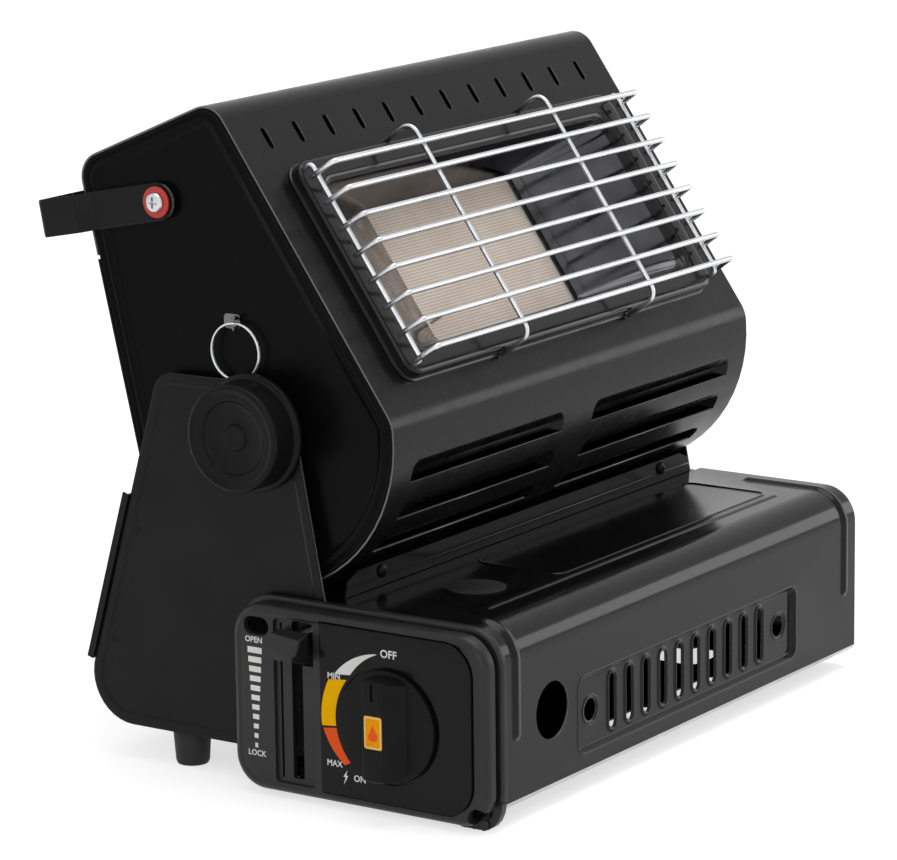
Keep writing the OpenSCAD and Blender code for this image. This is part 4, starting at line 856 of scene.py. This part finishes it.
def control_plate():
    """Flat plate in its seat, with a fine step round its edge and a groove round the knob."""
    steps = [(152.75, 0), (154.4, 0), (154.7, -0.12), (154.8, -0.45)]
    groove = lathe_rings([(23.0, -154.0), (24.0, -154.0), (24.0, -156.0), (23.0, -156.0), (23.0, -154.0)],
                         *KNOB, 72)
    piece("plate_skin", ["control_plate"], "base", [prism((-x, plate_ring(g)) for x, g in steps)], [PLATE], 30,
          [lathe([(5.0, -160), (5.0, -150)], *KNOB, 32), loft(groove, False, False)])


def arc_band(r0, r1, a0, a1, x, n=24):
    """Flat printed band on the left face round the knob, inner and outer (start, end) radii and angles."""
    pts = []
    for i in range(n + 1):
        t = i / n
        for r, a in ((r0, a0), (r1, a1)):
            q = np.array(KNOB) + (r[0] + (r[1] - r[0]) * t) * ray(a[0] + (a[1] - a[0]) * t)
            pts.append((x, q[0], q[1]))
    return pts, [(2 * i, 2 * i + 1, 2 * i + 3, 2 * i + 2) for i in range(n)]


def words(text, y, z, size, x):
    curve = bpy.data.curves.new("words", "FONT")
    curve.body = text
    curve.size = size
    curve.align_x = curve.align_y = "CENTER"
    curve.offset = size * 0.02
    curve.resolution_u = 3
    ob = link("words", curve)
    bpy.context.view_layer.update()
    me = bpy.data.meshes.new_from_object(ob.evaluated_get(bpy.context.evaluated_depsgraph_get()))
    pts = [(x, y - v.co.x, z + v.co.y) for v in me.vertices]
    faces = [tuple(p.vertices) for p in me.polygons]
    bpy.data.objects.remove(ob)
    return pts, faces


def flat(loop, x):
    return [(x, y, z) for y, z in loop], [tuple(range(len(loop)))]


def printing():
    white = [arc_band((28.7, 25.6), (28.9, 31.2), (79.5, 45.3), (79.5, 34.3), PLATE_X)]
    for i in range(11):
        z, w, h = 60.1 - 3.94 * i, 7.0 - 5.6 * i / 10, 2.5 - 0.6 * i / 10
        white.append(flat([(110 + a * w / 2, z + b * h / 2) for a, b in CORNERS], SCALE_X))
    bolt = [(1.0, 3.2), (-1.1, 0.1), (0.0, 0.1), (-1.0, -3.2), (1.3, 0.8), (0.2, 0.8)]
    white.append(flat([(65.7 - a, 14.5 + b) for a, b in bolt], PLATE_X))
    for text, y, z, size, x in (("OFF", 44.2, 67.6, 4.5, PLATE_X), ("MIN", 70.6, 55.2, 3.5, PLATE_X),
                                ("MAX", 70.9, 19.4, 3.5, PLATE_X), ("ON", 58.8, 14.7, 3.7, PLATE_X),
                                ("OPEN", 110.4, 64.3, 3.3, SCALE_X), ("LOCK", 109.8, 17.4, 3.3, SCALE_X)):
        white.append(words(text, y, z, size, x))
    yellow = arc_band((25.4, 25.4), (32.2, 32.2), (39.0, -8.2), (28.0, -7.6), PLATE_X)
    red = arc_band((25.4, 25.6), (31.8, 28.6), (-10.0, -44.0), (-9.4, -42.0), PLATE_X)
    piece("dial_white", [], "base", white, [PRINT_WHITE])
    piece("dial_yellow", [], "base", [yellow], [PRINT_YELLOW])
    piece("dial_red", [], "base", [red], [PRINT_RED])


def knob_outline(w, r):
    """Grip's outline about the knob's axis: straight flanks w apart, ends on a circle of radius r."""
    a = math.degrees(math.asin(w / 2 / r))
    return arc(KNOB, r, 90 - a, 90 + a, 8) + arc(KNOB, r, 270 - a, 270 + a, 8)


def gas_knob():
    disc = lathe([(4.9, -155.35), (22.6, -155.35), (22.95, -155.6), (22.95, -156.6), (22.75, -157.0),
                  (22.3, -157.1), (6.0, -157.1), (4.9, -157.1)], *KNOB, 72)
    steps = [(156.9, 20.6, 20.75), (157.3, 19.7, 20.7), (158.0, 18.7, 20.65), (165.0, 10.6, 20.35),
             (165.6, 10.1, 20.2), (165.9, 9.5, 19.9), (166.0, 8.9, 19.6)]
    grip = prism((-x, knob_outline(w, r)) for x, w, r in steps)
    seat = slab(rrect(*BADGE, 9.0, 13.9, 1.2, 4), -165.4, -168)
    groove = slab(rrect(44.7, 54.6, 1.3, 7.0, 0.6, 4), -165.2, -168)
    bore = lathe([(3.0, -162.5), (3.0, -150)], *KNOB, 24)
    piece("gas_knob_skin", ["gas_knob"], "gas_knob", [disc, grip], [PLASTIC_PAINTED_SHADE_KNOB], 38, [seat, groove, bore])
    steps = [(165.3, 0), (165.75, 0), (165.85, -0.12)]
    badge = prism((-x, rrect(*BADGE, 8.5 + 2 * g, 13.4 + 2 * g, 1.0, 4)) for x, g in steps)
    border = prism([(-165.88, rrect(*BADGE, 8.1 - 2 * g, 13.0 - 2 * g, 0.9 - g / 2, 4)) for g in (0, 0.75)], False)
    flame = []
    for i in range(24):
        a = 2 * math.pi * i / 24
        w = 2.1 * math.sin(a) * (1 - 0.45 * math.cos(a)) * (0.75 if math.cos(a) > 0 else 1)
        flame.append((BADGE[0] + w, 38.1 + 2.9 * math.cos(a) + (0.7 if math.cos(a) > 0.95 else 0)))
    piece("knob_badge_skin", ["knob_badge"], "gas_knob", [badge, border + (1,), flat(flame, -165.9) + (2,)],
          [ORANGE, PRINT_PALE, PRINT_RED])


def lock_lever():
    """Finger tab: a wedge cut off aslant, so its outer face narrows to the front, on its stem through the slot."""
    rings = []
    for y, s in ((83.0, 0.93), (83.5, 1.0), (97.0, 1.0), (97.5, 0.93)):
        t = (y - 83.0) / 14.5
        prof = [(-154.4, 70.9), (-160.5, 70.6 - 1.6 * (1 - t)), (-163.6 - 1.4 * t, 63.4 + 6.0 * t),
                (-166.0, 62.9 + 3.6 * t), (-165.6, 61.4), (-160.0, 59.6), (-154.4, 58.6)]
        rings.append([(-154.4 + (x + 154.4) * s, y, 64.5 + (z - 64.5) * s) for x, z in prof])
    stem = slab([(87.9, 59), (91.7, 59), (91.7, 67), (87.9, 67)], -154.9, -139.8)
    pin = lathe([(2, 90.5), (2, 96.0)], -141.8, 63, 20, 1)
    piece("lock_lever_skin", ["lock_lever"], "lever", [loft(rings), stem, pin], [PLASTIC], 18)


def clamp_knob(s, node):
    prof = [(3.3, 151.6), (3.3, 149.5), (3.3, 141.6), (23.6, 141.6), (24.0, 141.9), (24.0, 143.2),
            (23.7, 143.8), (22.9, 144.1), (22.2, 144.4), (22.0, 145.0), (22.0, 155.2), (21.8, 156.2), (21.3, 156.9),
            (20.5, 157.2), (19.6, 157.1), (19.0, 156.7), (18.5, 156.35), (17.4, 156.3), (15.9, 156.3), (15.3, 156.0),
            (15.0, 155.4), (14.6, 154.7), (13.5, 154.1), (11.0, 153.6), (8.0, 153.3), (5.9, 153.2), (5.4, 153.4),
            (5.2, 154.0), (4.9, 154.35), (4.2, 154.5), (3.0, 154.4), (1.5, 154.2), (0.1, 154.15)]
    knob = lathe([(r, s * x) for r, x in prof], *PIVOT, 72)
    piece(node + "_skin", [node], "clamp_left" if s < 0 else "clamp_right", [knob], [PLASTIC_PAINTED_SHADE_KNOB], 50)


def ring_and_lug():
    """Ring of nearly two turns of wire, through an eye of bent strip on the lug."""
    n, r = 96, 11.6
    turns = []
    for i in range(2 * n - 6):
        a = 2 * math.pi * i / n
        turns.append((-139.0 + i / (2 * n), RING[0] + r * math.sin(a), RING[1] + r * math.cos(a)))
    piece("split_ring_skin", ["split_ring"], "ring", [sweep(turns, 0.52, 10)], [CHROME], 60)
    loop = [(-138.5 + 2.55 * math.cos(a), RING[0], 188.5 + 2.55 * math.sin(a))
            for a in (math.radians(-150 + 300 * i / 24) for i in range(25))]
    ends = [[(-135.3, RING[0], z)] for z in (189.9, 187.1)]
    eye = sweep(ends[0] + loop[::-1][2:-2] + ends[1], 0.72, 8, flat=0.8)
    tab = prism((-x, rrect(131.2, 188.5, 8.2 + 2 * g, 6.2 + 2 * g, 1.6, 4))
                for x, g in ((134.75, 0), (135.4, 0), (135.65, -0.25)))
    piece("ring_lug_skin", ["ring_lug"], "head", [eye, tab], [STEEL_DARK], 50)


def handle():
    """Flat strap: two arms with a joggle, bent square into the grip."""
    r, half = 2.5, 7.75  # bends of the joggle, half the strap's width
    arm, out, grip = 138.8, 143.8, 58.5  # faces of the arm below and above the joggle, length up to the grip
    k = r * math.tan(math.radians(22.5))
    c = math.sqrt(0.5)
    side = [("line", (arm, -half), (arm, 33 - k)),
            ("arc", (arm + r, 33 - k), r, 180, 135),
            ("line", (arm + k * c, 33 + k * c), (out - k * c, 38 - k * c)),
            ("arc", (out - r, 38 + k), r, -45, 0),
            ("line", (out, 38 + k), (out, grip - 3))]
    corner = [("arc", (140.8, 55.5), 3.0, 0, 90), ("line", (140.8, grip), (-140.8, grip)),
              ("arc", (-140.8, 55.5), 3.0, 90, 180)]

    def flip(part):
        if part[0] == "line":
            return ("line", (-part[2][0], part[2][1]), (-part[1][0], part[1][1]))
        return ("arc", (-part[1][0], part[1][1]), part[2], 180 - part[4], 180 - part[3])

    strap = Wrap(*side, *corner, *[flip(p) for p in side[::-1]])
    droop = math.radians(11)

    def place(p, h):
        pos, nor = strap.at(p[:, 1])
        q = pos + h[:, None] * nor
        y = HANDLE_AXIS[0] + q[:, 1] * math.cos(droop) + p[:, 0] * math.sin(droop)
        z = HANDLE_AXIS[1] - q[:, 1] * math.sin(droop) + p[:, 0] * math.cos(droop)
        return np.column_stack((q[:, 0], y, z))

    end = strap.length - half

    def round_ended(d):
        return arc((0, half), half - d, 180, 360, 16) + arc((0, end), half - d, 0, 180, 16)

    def height(p):
        return -0.25 * (1 - ease((half - np.abs(p[:, 0])) / 0.7))

    holes = [arc((0, s), 2.2, 0, 340, 17) for s in (half, end)]
    pressed("handle_strap", ["carry_handle"], "handle", round_ended(0), place, -1, height,
            [round_ended(d) for d in (0.3, 0.7)], strap.bends(-9, 9, 12), holes, 1.4, (ENAMEL_LEG, EDGE_PAINTED_HIGHLIGHT))


def handle_screws():
    """Pan heads with a cross recess, their shanks, and the nuts inside the head."""
    x0, high = 140.3, 1.9
    shapes = (([(4.0, x0), (4.0, x0 + 0.35 * high), (3.6, x0 + 0.7 * high), (2.8, x0 + 0.92 * high),
                (1.6, x0 + high), (0.2, x0 + high)], 32), ([(2.0, 137.0), (2.0, 140.5)], 20),
              ([(1.5, 130.7), (1.5, 137.1)], 20), ([(3.5, 131.0), (3.5, 133.8)], 6))
    for s, side in SIDES:
        cuts = cross_recess([(s * (x0 + 0.3 * high), 0.6), (s * (x0 + high + 0.3), 1.1)], *HANDLE_AXIS, 2.4, 0.5)
        piece("handle_screw_" + side, ["handle_screws"], "head",
              [lathe([(r, s * x) for r, x in prof], *HANDLE_AXIS, n) for prof, n in shapes], [CHROME], 30, cuts)


def deck_screws():
    y, z = 79.65, 86.7
    prof = [(0.1, y - 1.6), (1.2, y - 1.5), (2.2, y - 1.15), (2.75, y - 0.6), (2.9, y)]
    for s, side in SIDES:
        x = s * 107.8
        cuts = cross_recess([(y - 0.7, 0.6), (y - 2.0, 1.1)], x, z, 1.7, 0.4, 1)
        shank = lathe([(1.5, y - 0.2), (1.5, y + 3.8)], x, z, 16, 1)
        piece("deck_screw_" + side, ["deck_screws"], "base", [lathe(prof, x, z, 32, 1), shank],
              [SCREW_BLACK], 30, cuts)


HOSE = [(-132, 68.9, 56.4), (-132, 76, 57.5), (-132, 84, 64.5), (-132, 93, 72.3), (-132, 104, 73), (-132, 122, 73),
        (-130, 142, 69), (-127, 161, 71), (-124, 176, 84), (-122, 178, 101), (-121, 172, 115), (-121, 152, 125),
        (-121.5, 131, 135), (-122.5, 116.5, 146), (-122.5, 115.1, 157.6), (-122.5, 122.1, 169.6)]
LEAD = [(-103.6, 66, 66), (-98, 72, 67), (-104, 92, 70), (-118, 122, 70), (-117, 142, 64), (-113, 163, 68),
        (-108, 176, 84), (-104, 179, 103), (-98, 169, 116), (-94, 150, 126), (-92, 130, 139), (-84, 119, 152),
        (-70, 114.5, 161.5), (-66, 106.8, 167.7)]


def flexible(name, node, route, r, mat):
    """Smooth tube through the route's points, between the base and the head."""
    p = [np.array(q, float) for q in route]
    p = [2 * p[0] - p[1]] + p + [2 * p[-1] - p[-2]]
    path = []
    for a, b, c, d in zip(p, p[1:], p[2:], p[3:]):
        for t in (i / 8 for i in range(8)):
            path.append(0.5 * (2 * b + (c - a) * t + (2 * a - 5 * b + 4 * c - d) * t * t
                               + (3 * b - a - 3 * c + d) * t ** 3))
    o = piece(name, [node], None, [sweep(path + [p[-2]], r, 14, dome=False)], [mat], 50)
    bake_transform(o)


head_shell()
for s, side in SIDES:
    head_side(s, "head_side_" + side)
reflector()
guard()
cover()
rail_line()
for s, side in SIDES:
    leg(s, "leg_" + side)
housing()
control_plate()
printing()
gas_knob()
lock_lever()
for s, side in SIDES:
    clamp_knob(s, "clamp_knob_" + side)
ring_and_lug()
handle()
handle_screws()
deck_screws()
flexible("gas_hose_smooth", "gas_hose", HOSE, 3.5, RUBBER)
flexible("ignition_lead", "ignition_wire", LEAD, 1.2, RED_LEAD)
for n in ("base_tray", "rear_deck", "stand_back", "stand_floor", "head_back", "heat_shield", "burner_box",
          "rear_feet", "middle_feet", "handle_washers"):
    soften(n, 0.3)


# ---- floor, light, camera
def seen_directly(tree):
    """1 for a ray from the camera, a reflection or a see-through surface, otherwise 0."""
    path = tree.nodes.new("ShaderNodeLightPath")
    out = path.outputs["Is Camera Ray"]
    for kind in ("Is Glossy Ray", "Is Transmission Ray"):
        n = tree.nodes.new("ShaderNodeMath")
        n.operation = "MAXIMUM"
        tree.links.new(out, n.inputs[0])
        tree.links.new(path.outputs[kind], n.inputs[1])
        out = n.outputs[0]
    return out


def stage_floor():
    """Pale floor: white where the camera or a reflection sees it, apart from the object's shadow."""
    me = bpy.data.meshes.new("floor")
    s = 6.0
    me.from_pydata([(s * a, s * b, 0) for a, b in CORNERS], [], [(0, 1, 2, 3)])
    o = link("floor", me)
    mat = bpy.data.materials.new("floor")
    mat.use_nodes = True
    t = mat.node_tree
    t.nodes.remove(t.nodes["Principled BSDF"])
    plain, seen, glow = (t.nodes.new("ShaderNodeBsdfDiffuse"), t.nodes.new("ShaderNodeBsdfDiffuse"),
                         t.nodes.new("ShaderNodeEmission"))
    plain.inputs["Color"].default_value = (0.8, 0.8, 0.8, 1)
    seen.inputs["Color"].default_value = (0.62, 0.62, 0.62, 1)
    glow.inputs["Strength"].default_value = 0.66
    both, mix = t.nodes.new("ShaderNodeAddShader"), t.nodes.new("ShaderNodeMixShader")
    t.links.new(seen.outputs[0], both.inputs[0])
    t.links.new(glow.outputs[0], both.inputs[1])
    t.links.new(seen_directly(t), mix.inputs[0])
    t.links.new(plain.outputs[0], mix.inputs[1])
    t.links.new(both.outputs[0], mix.inputs[2])
    t.links.new(mix.outputs[0], t.nodes["Material Output"].inputs["Surface"])
    me.materials.append(mat)


stage_floor()


def lamp(name, loc, target, size, power):
    data = bpy.data.lights.new(name, "AREA")
    data.shape = "RECTANGLE"
    data.size, data.size_y = size
    data.energy = power
    o = link(name, data)
    o.location = loc
    o.rotation_euler = (Vector(target) - Vector(loc)).to_track_quat("-Z", "Y").to_euler()


CENTRE = (0.0, 0.0, 0.13)
lamp("key", (1.62, -1.12, 0.51), CENTRE, (1.2, 0.6), 6)
lamp("top", (0.2, -0.2, 2.0), CENTRE, (1.4, 1.4), 16)
lamp("fill", (-1.8, -1.0, 0.9), CENTRE, (1.0, 1.0), 5)

scene_world = bpy.data.worlds.new("studio")
bpy.context.scene.world = scene_world
scene_world.use_nodes = True
wt = scene_world.node_tree
bg = wt.nodes["Background"]
strength = wt.nodes.new("ShaderNodeMapRange")
strength.inputs["To Min"].default_value = 0.55
strength.inputs["To Max"].default_value = 1.0
wt.links.new(seen_directly(wt), strength.inputs["Value"])
bg.inputs["Color"].default_value = (1, 1, 1, 1)
wt.links.new(strength.outputs["Result"], bg.inputs["Strength"])

AZ, EL, ROLL = math.radians(-55.82), math.radians(12.32), math.radians(-0.75)
back = Vector((math.sin(AZ) * math.cos(EL), -math.cos(AZ) * math.cos(EL), math.sin(EL)))
right = Vector((math.cos(AZ), math.sin(AZ), 0))
up = back.cross(right)
right_r = right * math.cos(ROLL) + up * math.sin(ROLL)
up_r = up * math.cos(ROLL) - right * math.sin(ROLL)
cam_data = bpy.data.cameras.new("camera")
cam_data.sensor_width = 36
cam_data.lens = 172.57
cam_data.clip_start = 0.05
cam_data.clip_end = 30
cam = link("camera", cam_data)
cam.matrix_world = Matrix.Translation(world((-1480.6, -885.9, 510.8))) @ Matrix(
    ((right_r.x, up_r.x, back.x, 0), (right_r.y, up_r.y, back.y, 0), (right_r.z, up_r.z, back.z, 0), (0, 0, 0, 1)))
bpy.context.scene.camera = cam
bpy.context.scene.view_settings.view_transform = "Standard"
